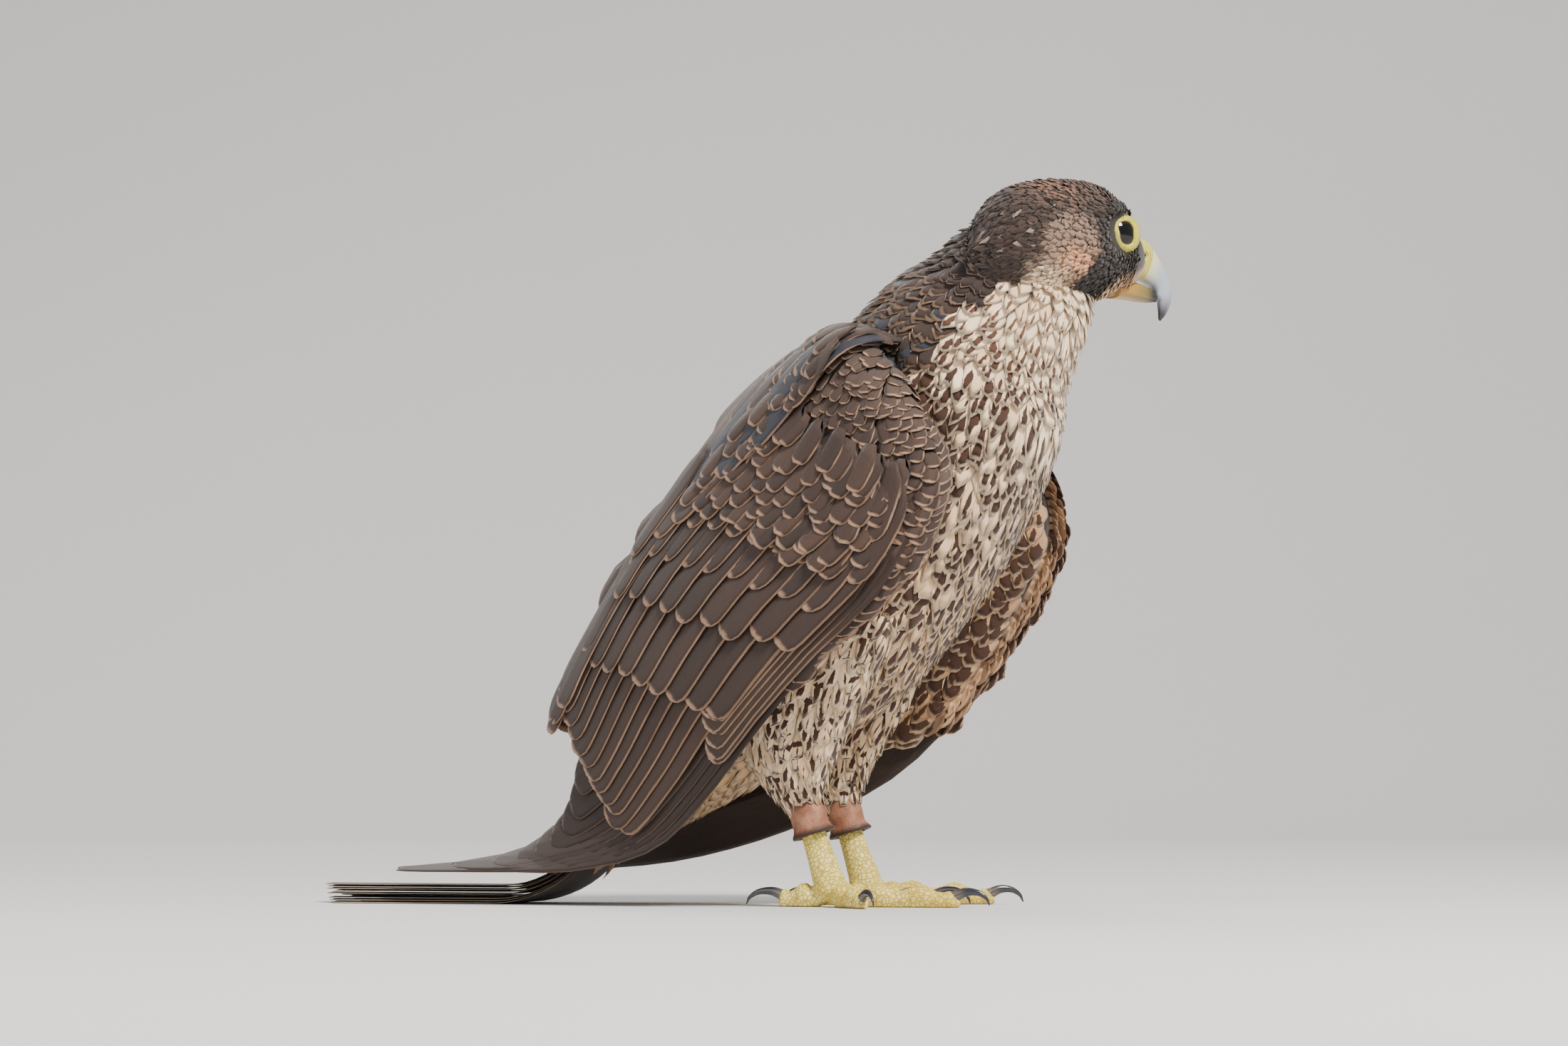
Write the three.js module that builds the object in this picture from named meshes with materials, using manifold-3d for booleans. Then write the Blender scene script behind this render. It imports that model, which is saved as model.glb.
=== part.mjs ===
// A peregrine falcon in brown first-year plumage, life size, standing at rest with its wings drooped
// a little off its body, its head turned to its left and its tail laid along the ground behind it.
// Millimetres. +X is the way the breast faces, +Y the bird's left, +Z up. The ground is z = 0.
// All places are from the point on the ground midway between the feet. At the end the whole bird
// is moved so that the middle of its outline, seen from above, stands at the origin.

import * as THREE from 'three';
import { mergeVertices } from 'three/addons/utils/BufferGeometryUtils.js';
import Module from 'manifold-3d';

const wasm = await Module();
wasm.setup();

// Thin things and the air between them
const GAP = 0.35; // between neighbouring pieces
const VANE = 0.6; // thickness of a feather vane
const LAYER = 0.95; // rise from one feather to the one that lies over it
const STACK = 0.3; // part of that rise that doesn't come from the feathers' tilt
const STEEPEST = 0.2; // steepest tilt of a feather across its width

// Trunk, from the vent to the top of the neck
const TRUNK = [
  // middle x, middle z, half width, half depth to the front, half depth to the back
  [-90, 33, 13, 11, 11],
  [-72, 55, 27, 23, 22],
  [-42, 89, 39, 40, 38],
  [-10, 122, 46, 50, 52],
  [18, 160, 49, 53, 60],
  [36, 195, 48, 54, 55],
  [51, 223, 41, 49, 44],
  [66, 243, 32, 40, 35],
  [76, 258, 28, 34, 31],
  [84, 270, 21, 25, 21],
];
const TRUNK_SIDES = 20;
const TRUNK_ROWS = 17;
const NECK_PLANE = { x: 56, z: 230, tilt: 52 }; // between torso and neck, tilt in degrees

// Head: the middle of the skull, turned from +X to the bird's left
const HEAD = { x: 91, y: 6, z: 268, turn: 50 };
const SKULL = [
  // forward, middle height, half width, half height up, half height down
  [-41, -4, 7, 7, 12],
  [-37, -2, 14, 13, 18],
  [-29, 0, 20, 19.5, 22],
  [-18, 0, 24, 23.5, 25],
  [-6, 0, 25, 25.3, 25.5],
  [5, 0, 25, 25.2, 25],
  [13, 0, 23.8, 23.8, 24],
  [20, -1, 21.3, 20.8, 21],
  [26, -3, 17.5, 16, 17],
  [31.5, -5, 13, 11, 13],
  [35, -7, 9, 7, 9],
];
const EYE = { forward: 16.5, side: 13.2, up: 3, radius: 8.8, look: 20 };
const LID = { ring: 7.5, tube: 1.25 };
const BROW = { forward: 14, side: 18, up: 12, length: 14, thick: 3.8 };

// Bill, seen from the side, with its half widths
const UPPER_BILL = [
  // ridge forward, ridge up, edge forward, edge up, half width
  [28, 2, 24, -12.5, 8.8],
  [35, 2, 31, -13, 8],
  [40, 0, 36, -13.8, 6.9],
  [45, -5.4, 40.5, -15.8, 5.4],
  [49, -11, 42.6, -17, 4.2],
  [51.2, -17, 44, -19.2, 3.2],
  [51.4, -22.4, 45.6, -22.6, 2.3],
  [49.4, -27.4, 46, -26, 1.4],
  [46.8, -30.4, 46, -29.4, 0.5],
];
const LOWER_BILL = [
  // forward, top, bottom, half width
  [23, -14, -22, 7.6],
  [30, -14.6, -22.4, 6.4],
  [36, -15.6, -23, 5],
  [40.6, -17.2, -23.2, 3.7],
  [44, -19.6, -22.9, 2.2],
];
const CERE_END = 38.5; // forward place where the soft cere ends and the horn begins
const NOSTRIL = { forward: 34.5, side: 7.4, up: -4.8, radius: 1.25 };

// Folded wing: its lower, leading edge and its upper edge along the back. The two lists pair up,
// from the shoulder past the wrist to the tip near the ground. y counts out from the middle plane.
const WINGS = {
  right: {
    lower: [
      [40, 52, 212], [56, 64, 193], [65, 69, 172], [60.5, 71, 150], [44.5, 72, 127], [14, 70, 101],
      [-13, 64, 75], [-38, 55, 48], [-62, 46, 29], [-94, 39, 20], [-135, 31, 16], [-210, 20, 13],
    ],
    upper: [
      [33, 38, 226], [8, 30, 229], [-20, 20, 215], [-46, 12, 193], [-68, 8, 166], [-90, 6, 135],
      [-110, 5, 101], [-126, 5, 69], [-142, 6, 44], [-160, 7, 29], [-180, 8, 21], [-216, 8, 15],
    ],
  },
  // The left wing hangs lower and further forward
  left: {
    lower: [
      [44, 52, 210], [61, 62, 188], [71, 69, 160], [65, 73, 136], [51, 75, 113], [31, 74, 86],
      [3, 68, 58], [-26, 60, 42], [-58, 50, 30], [-94, 41, 21], [-135, 33, 16], [-210, 22, 13],
    ],
    upper: [
      [33, 38, 226], [10, 30, 229], [-18, 20, 215], [-44, 12, 193], [-66, 8, 166], [-88, 6, 135],
      [-108, 5, 101], [-124, 5, 69], [-140, 6, 44], [-158, 7, 29], [-180, 8, 21], [-216, 8, 15],
    ],
  },
};
const WING_STATIONS = WINGS.right.lower.length - 1;
const WING_BULGE = 13; // how far the middle of the wing stands out from the line between its edges
const ARM = { from: 0.15, to: 5, thick: 17, cover: 8.2, rim: 1 }; // the arm under its small coverts

// Tiers of wing feathers. A place is [along, across]: along counts the stations above, and across
// runs from 0 at the lower edge to 1 at the upper edge. Each pair is for a tier's first and last.
const WING_TIERS = [
  { name: 'primaries', count: 6, width: 11, height: 0, stack: 0.72, rows: 5,
    root: [[3.4, 0.06], [4.7, 0.26]], middle: [[7.2, 0.04], [5.9, 0.42]], tip: [[10.7, 0.2], [7.1, 0.7]] },
  { name: 'secondaries', count: 9, width: 12, height: 3.6, rows: 3,
    root: [[4.1, 0.2], [4.2, 0.92]], middle: [[5.9, 0.2], [5.1, 0.94]], tip: [[8.0, 0.27], [6.5, 0.97]] },
  { name: 'primary coverts', count: 4, width: 8, height: 5, rows: 2,
    root: [[3.3, 0.07], [4.2, 0.2]], middle: [[4.6, 0.03], [4.9, 0.16]], tip: [[6.6, 0.05], [6.0, 0.2]] },
  { name: 'greater coverts', count: 7, width: 11, height: 7, rows: 2,
    root: [[3.3, 0.2], [3.8, 0.86]], middle: [[4.6, 0.16], [4.7, 0.86]], tip: [[6.0, 0.18], [6.0, 0.86]] },
  { name: 'median coverts', count: 6, width: 11, height: 9.8, rows: 2,
    root: [[2.7, 0.16], [3.1, 0.76]], middle: [[3.6, 0.12], [3.9, 0.76]], tip: [[4.6, 0.12], [4.8, 0.76]] },
  { name: 'scapulars', count: 6, width: 12, height: 10.4, rows: 2,
    root: [[1.2, 0.6], [3.4, 0.96]], middle: [[2.2, 0.66], [4.2, 0.98]], tip: [[3.2, 0.74], [5.6, 0.98]] },
];
// Half width of a vane at shares of its length
const VANE_OUTLINE = [[0, 0.5], [0.12, 0.8], [0.35, 1], [0.76, 1], [0.92, 0.7], [1, 0.16]];

// Tail: it slopes down from the rump, bends in an arc and lies along the ground
const TAIL = {
  x: -76, z: 54, slope: 50, bend: 55, length: 175,
  feathers: 12, halfWidth: 11.5, rootSpread: 5, tipSpread: 18, stack: 0.9,
};
const RUMP = { at: 27, halfLength: 19, halfWidth: 16, halfHeight: 6.5 };

// Legs
const FOOT_SIDE = 22; // how far each foot stands from the middle plane
const THIGH = [
  // x, side, z, radius across, radius fore and aft
  [9, 20, 130, 13, 20],
  [5, 25, 117, 20, 30],
  [-6, 28, 94, 20, 30],
  [-13, 26, 70, 17, 24],
  [-14, 24, 52, 12.5, 15.5],
  [-11, 22.5, 41, 8.4, 9.6],
];
const SHANK = [
  // x, z, radius across, radius fore and aft
  [-13, 52, 4.6, 5.4],
  [-8.5, 38, 4.6, 5.4],
  [-4, 24, 4.8, 5.6],
  [0, 13, 6.2, 6.6],
  [1.5, 6, 6.6, 6.6],
];
const CUFF = { top: 42, bottom: 29, wall: 1.2, flare: 1.6, clear: 0.75 };
const FOOT_HEADING = { right: 8, left: 28 };
// Each toe: its heading from the foot's own, its length and thickness, and its claw's length
const TOES = [
  { name: 'hind', heading: 172, length: 22, thick: 4.3, claw: 21 },
  { name: 'inner', heading: 34, length: 33, thick: 4.2, claw: 20 },
  { name: 'middle', heading: 0, length: 53, thick: 4.2, claw: 18 },
  { name: 'outer', heading: -58, length: 38, thick: 3.9, claw: 16 },
];

// Small helpers
const rad = THREE.MathUtils.degToRad;
const { lerp, clamp, smoothstep } = THREE.MathUtils;
const point = (x, y, z) => new THREE.Vector3(x, y, z);
const mix = (a, b, share) => new THREE.Vector3().lerpVectors(a, b, share);
const times = (count, make) => Array.from({ length: count }, (_, i) => make(i));
const around = (count, make) => times(count, (i) => make((i / count) * Math.PI * 2));

// A smooth run through rows of numbers. share goes from 0 at the first row to 1 at the last.
function spline(rows) {
  const last = rows.length - 1;
  const before = rows[0].map((v, k) => 2 * v - rows[1][k]);
  const after = rows[last].map((v, k) => 2 * v - rows[last - 1][k]);
  const row = (i) => (i < 0 ? before : i > last ? after : rows[i]);
  return (share) => {
    const t = clamp(share, 0, 1) * last;
    const i = Math.min(Math.floor(t), last - 1);
    const w = t - i;
    const [p, q, r, s] = [row(i - 1), row(i), row(i + 1), row(i + 2)];
    return q.map((_, k) => 0.5 * (2 * q[k] + (r[k] - p[k]) * w
      + (2 * p[k] - 5 * q[k] + 4 * r[k] - s[k]) * w ** 2
      + (3 * q[k] - p[k] - 3 * r[k] + s[k]) * w ** 3));
  };
}

// Solids
function solidOf(geometry, weld = 1e-4) {
  const bare = new THREE.BufferGeometry();
  bare.setAttribute('position', geometry.getAttribute('position').clone());
  bare.setIndex(geometry.index);
  const merged = mergeVertices(bare, weld);
  return new wasm.Manifold(new wasm.Mesh({
    numProp: 3,
    vertProperties: new Float32Array(merged.attributes.position.array),
    triVerts: new Uint32Array(merged.index.array),
  }));
}

function geometryOf(solid) {
  const mesh = solid.getMesh();
  const places = new Float32Array(mesh.numVert * 3);
  for (let i = 0; i < mesh.numVert; i++) {
    const start = i * mesh.numProp;
    places.set(mesh.vertProperties.subarray(start, start + 3), i * 3);
  }
  const geometry = new THREE.BufferGeometry();
  geometry.setAttribute('position', new THREE.BufferAttribute(places, 3));
  geometry.setIndex(new THREE.BufferAttribute(new Uint32Array(mesh.triVerts), 1));
  return geometry;
}

const join = (solids) => solids.reduce((whole, next) => whole.add(next));
const cutBy = (solid, tools) => tools.reduce((rest, tool) => rest.subtract(tool), solid);
const largest = (solid) => solid.decompose().reduce((a, b) => (b.volume() > a.volume() ? b : a));

// A closed solid from its corners and triangles, whichever way round they were given
function facingOut(places, faces) {
  let volume = 0;
  for (let i = 0; i < faces.length; i += 3) {
    const [a, b, c] = [places[faces[i]], places[faces[i + 1]], places[faces[i + 2]]];
    volume += a.dot(b.clone().cross(c));
  }
  if (volume < 0) faces.reverse();
  const geometry = new THREE.BufferGeometry().setFromPoints(places);
  geometry.setIndex(faces);
  return solidOf(geometry);
}

// A closed solid through rings of points, each ring with the same number of points
function loft(rings) {
  const sides = rings[0].length;
  const places = rings.flat();
  const faces = [];
  for (let i = 0; i + 1 < rings.length; i++) {
    for (let j = 0; j < sides; j++) {
      const a = i * sides + j;
      const b = i * sides + ((j + 1) % sides);
      faces.push(a, b, b + sides, a, b + sides, a + sides);
    }
  }
  const last = (rings.length - 1) * sides;
  const ends = [places.length, places.length + 1];
  for (const ring of [rings[0], rings[rings.length - 1]]) {
    places.push(ring.reduce((sum, p) => sum.add(p), point(0, 0, 0)).divideScalar(sides));
  }
  for (let j = 0; j < sides; j++) {
    const next = (j + 1) % sides;
    faces.push(next, j, ends[0], last + j, last + next, ends[1]);
  }
  return facingOut(places, faces);
}

// A large block on one side of a plane through x, z. tilt 90 is a level plane.
function halfSpace({ x, z, tilt }, above, shift = 0) {
  const size = 800;
  const block = new THREE.BoxGeometry(size, size, size);
  block.translate(0, 0, (above ? size / 2 : -size / 2) + shift);
  block.rotateY(rad(90 - tilt));
  block.translate(x, 0, z);
  return solidOf(block);
}

// Trunk
const trunkAt = spline(TRUNK);

function trunk(grow = 0) {
  return loft(times(TRUNK_ROWS + 1, (i) => {
    const share = i / TRUNK_ROWS;
    const [x, z, w, front, back] = trunkAt(share);
    const [x0, z0] = trunkAt(share - 0.02);
    const [x1, z1] = trunkAt(share + 0.02);
    const along = point(x1 - x0, 0, z1 - z0).normalize();
    const forward = point(along.z, 0, -along.x);
    const lean = HEAD.y * smoothstep(share, 0.75, 1);
    return around(TRUNK_SIDES, (turn) => {
      const depth = (Math.sin(turn) > 0 ? front : back) + grow;
      return point(x, lean + (w + grow) * Math.cos(turn), z).addScaledVector(forward, depth * Math.sin(turn));
    });
  }));
}

// Head, in its own frame: forward, side (positive to the bird's right) and up
const HEAD_AXES = [
  point(Math.cos(rad(HEAD.turn)), Math.sin(rad(HEAD.turn)), 0),
  point(Math.sin(rad(HEAD.turn)), -Math.cos(rad(HEAD.turn)), 0),
  point(0, 0, 1),
];
function headPoint(forward, side, up) {
  const [ahead, aside, above] = HEAD_AXES;
  return point(HEAD.x, HEAD.y, HEAD.z)
    .addScaledVector(ahead, forward).addScaledVector(aside, side).addScaledVector(above, up);
}

function skull(grow = 0) {
  const rows = 15;
  const at = spline(SKULL);
  return loft(times(rows + 1, (i) => {
    const [forward, middle, w, top, bottom] = at(i / rows);
    const reach = i === 0 ? -grow : i === rows ? grow : 0;
    return around(20, (turn) => {
      const height = (Math.sin(turn) > 0 ? top : bottom) + grow;
      return headPoint(forward + reach, (w + grow) * Math.cos(turn), middle + height * Math.sin(turn));
    });
  }));
}

function eyePlace(side) {
  const centre = headPoint(EYE.forward, side * EYE.side, EYE.up);
  const look = HEAD_AXES[1].clone().multiplyScalar(side * Math.cos(rad(EYE.look)))
    .addScaledVector(HEAD_AXES[0], Math.sin(rad(EYE.look)));
  return { centre, look };
}

// Turns a shape's own axis to a direction and sets it at a place
function place(shape, axis, direction, centre) {
  shape.applyQuaternion(new THREE.Quaternion().setFromUnitVectors(axis, direction));
  shape.translate(centre.x, centre.y, centre.z);
  return solidOf(shape);
}

function eyeball(side, grow = 0) {
  const { centre, look } = eyePlace(side);
  return place(new THREE.SphereGeometry(EYE.radius + grow, 14, 8), point(0, 1, 0), look, centre);
}

// The bare ring of lid round an eye
function lid(side) {
  const { centre, look } = eyePlace(side);
  const out = Math.sqrt(EYE.radius ** 2 - LID.ring ** 2) + LID.tube;
  const ring = new THREE.TorusGeometry(LID.ring, LID.tube, 5, 16);
  return place(ring, point(0, 0, 1), look, centre.addScaledVector(look, out));
}

// The bony ridge that shades an eye
function brow(side) {
  const ridge = new THREE.SphereGeometry(1, 10, 5);
  ridge.scale(BROW.length, BROW.thick, BROW.thick * 0.8);
  ridge.rotateY(rad(14));
  ridge.rotateZ(rad(HEAD.turn + side * 16));
  const centre = headPoint(BROW.forward, side * BROW.side, BROW.up);
  ridge.translate(centre.x, centre.y, centre.z);
  return solidOf(ridge);
}

// Upper bill with its cere. A ring for each row of the table: ridge on top, cutting edges below.
function upperBill(grow = 0) {
  const rows = 14;
  const at = spline(UPPER_BILL);
  const half = [[0.9, 0.42], [0.66, 0.8], [0.35, 0.98], [0, 0.9]];
  const ring = [[1, 0], ...half, [-0.02, 0.45], [-0.02, -0.45], ...half.map(([h, s]) => [h, -s]).reverse()];
  return loft(times(rows + 1, (i) => {
    const [ridgeX, ridgeZ, edgeX, edgeZ, w] = at(i / rows);
    const ridge = point(ridgeX, 0, ridgeZ);
    const edge = point(edgeX, 0, edgeZ);
    const away = ridge.clone().sub(edge).normalize();
    return ring.map(([height, side]) => {
      const p = mix(edge, ridge, height).addScaledVector(away, height > 0.5 ? grow : -grow);
      return headPoint(p.x, side * w + Math.sign(side) * grow, p.z);
    });
  }));
}

function lowerBill(grow = 0) {
  const rows = 7;
  const at = spline(LOWER_BILL);
  const half = [[0.95, 1], [0.45, 0.98], [0.1, 0.62]];
  const ring = [[1, 0.5], ...half, [0, 0], ...half.map(([h, s]) => [h, -s]).reverse(), [1, -0.5]];
  return loft(times(rows + 1, (i) => {
    const [forward, top, bottom, w] = at(i / rows);
    return ring.map(([height, side]) => headPoint(
      forward + (i === rows ? grow : 0),
      side * w + Math.sign(side) * grow,
      lerp(bottom - grow, top + grow, height),
    ));
  }));
}

function nostril(side) {
  const hole = new THREE.CylinderGeometry(NOSTRIL.radius, NOSTRIL.radius, 4, 10);
  return place(hole, point(0, 1, 0), HEAD_AXES[1], headPoint(NOSTRIL.forward, side * NOSTRIL.side, NOSTRIL.up));
}

// Blocks that keep one end of the bill each, with a gap between them
function billEnds() {
  const size = 200;
  return [1, -1].map((sign) => {
    const box = new THREE.BoxGeometry(size, size, size);
    box.translate((sign * (size - GAP)) / 2, 0, 0);
    box.rotateY(rad(18));
    return place(box, point(1, 0, 0), HEAD_AXES[0], headPoint(CERE_END, 0, -4));
  });
}

// A wing's outer face as a smooth patch between its two edges. side is -1 right and 1 left.
function wingPatch(name, side) {
  const edges = [WINGS[name].lower, WINGS[name].upper].map((edge) => spline(edge.map(([x, y, z]) => [x, side * y, z])));
  const edgePoint = (edge, along) => point(...edge(along / WING_STATIONS));
  const at = (along, across) => {
    const [low, high] = edges.map((edge) => edgePoint(edge, along));
    const run = edgePoint(edges[0], along + 0.1).add(edgePoint(edges[1], along + 0.1))
      .sub(edgePoint(edges[0], along - 0.1)).sub(edgePoint(edges[1], along - 0.1));
    const out = high.clone().sub(low).cross(run).normalize().multiplyScalar(-side);
    const fade = smoothstep(WING_STATIONS - along, 1.5, 6.5) * smoothstep(along, -0.6, 1.2);
    const swell = WING_BULGE * fade * Math.sin(Math.PI * clamp(across, 0, 1)) ** 0.8;
    return mix(low, high, across).addScaledVector(out, swell);
  };
  const normal = (along, across) => {
    const step = 0.05;
    const down = at(along + step, across).sub(at(along - step, across));
    const over = at(along, Math.min(1, across + step)).sub(at(along, Math.max(0, across - step)));
    return over.cross(down).normalize().multiplyScalar(-side);
  };
  return { at, normal };
}

// A closed pad under and over the patch. heights gives its outer and inner face at a place.
function pad(patch, from, to, rows, columns, heights) {
  const outer = [];
  const inner = [];
  for (let i = 0; i <= rows; i++) {
    for (let j = 0; j <= columns; j++) {
      const along = lerp(from, to, i / rows);
      const across = j / columns;
      const [over, under] = heights(along, across, i / rows);
      const normal = patch.normal(along, across);
      outer.push(patch.at(along, across).addScaledVector(normal, over));
      inner.push(patch.at(along, across).addScaledVector(normal, under));
    }
  }
  const wide = columns + 1;
  const count = outer.length;
  const faces = [];
  for (let i = 0; i < rows; i++) {
    for (let j = 0; j < columns; j++) {
      const a = i * wide + j;
      const [b, c, d] = [a + 1, a + wide + 1, a + wide];
      faces.push(a, b, c, a, c, d);
      faces.push(count + a, count + c, count + b, count + a, count + d, count + c);
    }
  }
  const border = [
    ...times(columns, (j) => j), ...times(rows, (i) => i * wide + columns),
    ...times(columns, (j) => rows * wide + columns - j), ...times(rows, (i) => (rows - i) * wide),
  ];
  border.forEach((a, k) => {
    const b = border[(k + 1) % border.length];
    faces.push(a, count + a, count + b, a, count + b, b);
  });
  return facingOut([...outer, ...inner], faces);
}

// The arm with its small coverts: thick at the wrist and thin at its borders
function armPad(patch) {
  return pad(patch, ARM.from, ARM.to, 9, 6, (along, across, share) => {
    const round = Math.sqrt(1 - (2 * across - 1) ** 4) * Math.sqrt(Math.sin(Math.PI * lerp(0.05, 0.93, share)));
    const cover = ARM.cover * smoothstep(ARM.to + 0.1 - along + 1.2 * across, 0, 1.6) + ARM.rim;
    return [cover * round, -ARM.thick * round - ARM.rim];
  });
}

// A feather: a thin vane through its frames, narrow at its root and rounded at its tip
function vane(frames, halfWidth, grow = 0) {
  return loft(frames.map(({ share, centre, across, normal, slope }) => {
    const next = Math.max(1, VANE_OUTLINE.findIndex(([s]) => s >= share - 1e-9));
    const [[s0, w0], [s1, w1]] = [VANE_OUTLINE[next - 1], VANE_OUTLINE[next]];
    const half = halfWidth * lerp(w0, w1, (share - s0) / (s1 - s0)) + grow;
    const thick = VANE / 2 + grow;
    return [[-half, thick], [half, thick], [half, -thick], [-half, -thick]].map(([y, h]) => (
      centre.clone().addScaledVector(across, y).addScaledVector(normal, h - slope * y)));
  }));
}

// Where a vane has its rings: even along its body, then two that round its tip
const vaneShares = (rows) => [...times(rows, (i) => (i / (rows - 1)) * 0.76), 0.92, 1];

// Where a wing feather runs: its middle line over the patch, from root to tip
function featherLine(patch, tier, i) {
  const k = i / (tier.count - 1);
  const [root, middle, tip] = [tier.root, tier.middle, tier.tip].map(([a, b]) => [lerp(a[0], b[0], k), lerp(a[1], b[1], k)]);
  return vaneShares(tier.rows).map((share) => {
    const back = 1 - share;
    const [along, across] = [0, 1].map((n) => back ** 2 * root[n] + 2 * back * share * middle[n] + share ** 2 * tip[n]);
    const normal = patch.normal(along, across);
    return { share, normal, centre: patch.at(along, across).addScaledVector(normal, tier.height + i * (tier.stack ?? STACK)) };
  });
}

// Each feather is tilted a little, so that its upper neighbour lies over it like a roof tile
function wingFeather(patch, tier, i, side) {
  const frames = featherLine(patch, tier, i);
  const beside = featherLine(patch, tier, i + (i + 1 < tier.count ? 1 : -1));
  frames.forEach((frame, n) => {
    const ahead = frames[Math.min(n + 1, frames.length - 1)].centre;
    const behind = frames[Math.max(n - 1, 0)].centre;
    const along = ahead.clone().sub(behind).normalize();
    frame.across = frame.normal.clone().cross(along).normalize();
    frame.normal = along.clone().cross(frame.across).normalize();
    const spacing = Math.abs(beside[n].centre.clone().sub(frame.centre).dot(frame.across));
    frame.slope = side * Math.min(LAYER / Math.max(spacing, 1), STEEPEST);
  });
  return frames;
}

// A wing as one smooth form out to its tip, thick at the arm and thin beyond it
function smoothWing(patch) {
  return pad(patch, ARM.from, WING_STATIONS - 0.15, 24, 8, (along, across, share) => {
    const round = Math.sqrt(1 - (2 * across - 1) ** 4) * Math.sqrt(Math.sin(Math.PI * lerp(0.03, 0.97, share)));
    const arm = 1 - smoothstep(along, 3.5, 6.5);
    return [lerp(3, ARM.cover, arm) * round + 0.5, -lerp(0.5, ARM.thick, arm) * round - 0.5];
  });
}

function wing(name, side) {
  const patch = wingPatch(name, side);
  if (name === 'left') return smoothWing(patch);
  const feathers = WING_TIERS.flatMap((tier) => (
    times(tier.count, (i) => vane(wingFeather(patch, tier, i, side), tier.width))));
  return join([armPad(patch), ...feathers]);
}

// A place on the tail's middle line, a distance from its root: down a slope, round an arc, then level
function tailPoint(distance, lift) {
  const slope = rad(TAIL.slope);
  const drop = TAIL.bend * (1 - Math.cos(slope));
  const straight = (TAIL.z - drop) / Math.sin(slope);
  const arc = TAIL.bend * slope;
  const turned = clamp((distance - straight) / TAIL.bend, 0, slope);
  const angle = slope - turned;
  const run = Math.min(distance, straight);
  const level = Math.max(distance - straight - arc, 0);
  const x = TAIL.x - run * Math.cos(slope) - TAIL.bend * (Math.sin(slope) - Math.sin(angle)) - level;
  const z = TAIL.z - run * Math.sin(slope) - TAIL.bend * (Math.cos(angle) - Math.cos(slope));
  const normal = point(-Math.sin(angle), 0, Math.cos(angle));
  return { centre: point(x, 0, z).addScaledVector(normal, lift + VANE / 2), normal };
}

// Tail: the middle pair lies on top. Each further pair lies under it and a little to the side.
function tail(grow = 0) {
  const pairs = TAIL.feathers / 2;
  const pieces = [];
  for (let pair = 0; pair < pairs; pair++) {
    for (const side of [-1, 1]) {
      const crossing = Math.max(0, 3 - pair);
      const level = pairs - 1 - pair + crossing - (side > 0 && crossing > 0 ? 1 : 0);
      const frames = vaneShares(6).map((share) => {
        const { centre, normal } = tailPoint(share * TAIL.length * (1 - 0.01 * pair), level * TAIL.stack);
        centre.y = side * ((pair + 0.5) / pairs) * lerp(TAIL.rootSpread, TAIL.tipSpread, share);
        return { share, centre, normal, across: point(0, 1, 0), slope: 0 };
      });
      pieces.push(vane(frames, TAIL.halfWidth, grow));
    }
  }
  const coverts = new THREE.SphereGeometry(1, 14, 8);
  coverts.scale(RUMP.halfLength + grow, RUMP.halfWidth + grow, RUMP.halfHeight + grow);
  coverts.rotateY(rad(-TAIL.slope));
  const { centre } = tailPoint(RUMP.at, 3);
  coverts.translate(centre.x, 0, centre.z);
  return join([...pieces, solidOf(coverts)]);
}

// Legs
function ovals(rows, count, sides, grow, endGrow) {
  const at = spline(rows);
  return loft(times(count + 1, (i) => {
    const [x, y, z, across, fore] = at(i / count);
    const down = i === count ? endGrow : 0;
    return around(sides, (turn) => point(x + (fore + grow) * Math.cos(turn), y + (across + grow) * Math.sin(turn), z - down));
  }));
}
const thigh = (side, grow = 0) => ovals(THIGH.map(([x, y, ...rest]) => [x, side * y, ...rest]), 10, 16, grow, grow);
const shank = (side, grow = 0) => ovals(SHANK.map(([x, ...rest]) => [x, side * FOOT_SIDE, ...rest]), 7, 12, grow, 0);

// A leather cuff round the shank, a little wider at its lower rim
function cuff(side) {
  const onShank = (z) => {
    const [x0, z0] = SHANK[0];
    const [x1, z1] = SHANK[2];
    return point(lerp(x0, x1, (z - z0) / (z1 - z0)), side * FOOT_SIDE, z);
  };
  const [low, high] = [onShank(CUFF.bottom), onShank(CUFF.top)];
  const height = low.distanceTo(high);
  const inside = SHANK[1][3] + CUFF.clear;
  const outside = inside + CUFF.wall;
  const profile = [[inside, 0], [outside + CUFF.flare, 0], [outside, height * 0.3], [outside, height], [inside, height], [inside, 0]];
  const ring = new THREE.LatheGeometry(profile.map(([r, y]) => new THREE.Vector2(r, y)), 16);
  return place(ring, point(0, 1, 0), high.sub(low).normalize(), low);
}

function toeRun(side, spec) {
  const heading = rad(FOOT_HEADING[side < 0 ? 'right' : 'left'] - side * spec.heading);
  const ahead = point(Math.cos(heading), Math.sin(heading), 0);
  return { ahead, across: point(-ahead.y, ahead.x, 0), root: point(SHANK[4][0], side * FOOT_SIDE, 0) };
}

// A toe: swollen pads under it, thinner between them, and its sole flat on the ground
function toe(side, spec, grow = 0) {
  const { ahead, across, root } = toeRun(side, spec);
  const rows = 7;
  const pads = spec.length > 30 ? 3 : 2;
  return loft(times(rows + 1, (i) => {
    const share = i / rows;
    const swell = 1 + 0.16 * Math.cos(share * pads * Math.PI * 2 - 0.4);
    const radius = spec.thick * swell * lerp(1.12, 0.86, share) * (i === rows ? 0.55 : 1) + grow;
    const endGrow = i === rows ? grow : i === 0 ? -grow : 0;
    const middle = root.clone().addScaledVector(ahead, share * spec.length + endGrow);
    middle.z = radius - 0.45 - grow + Math.max(0, 1 - share * 3.2) * 2.2;
    return around(8, (turn) => {
      const angle = turn + Math.PI / 8;
      return middle.clone().addScaledVector(across, radius * Math.cos(angle)).add(point(0, 0, radius * Math.sin(angle)));
    });
  }));
}

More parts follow.
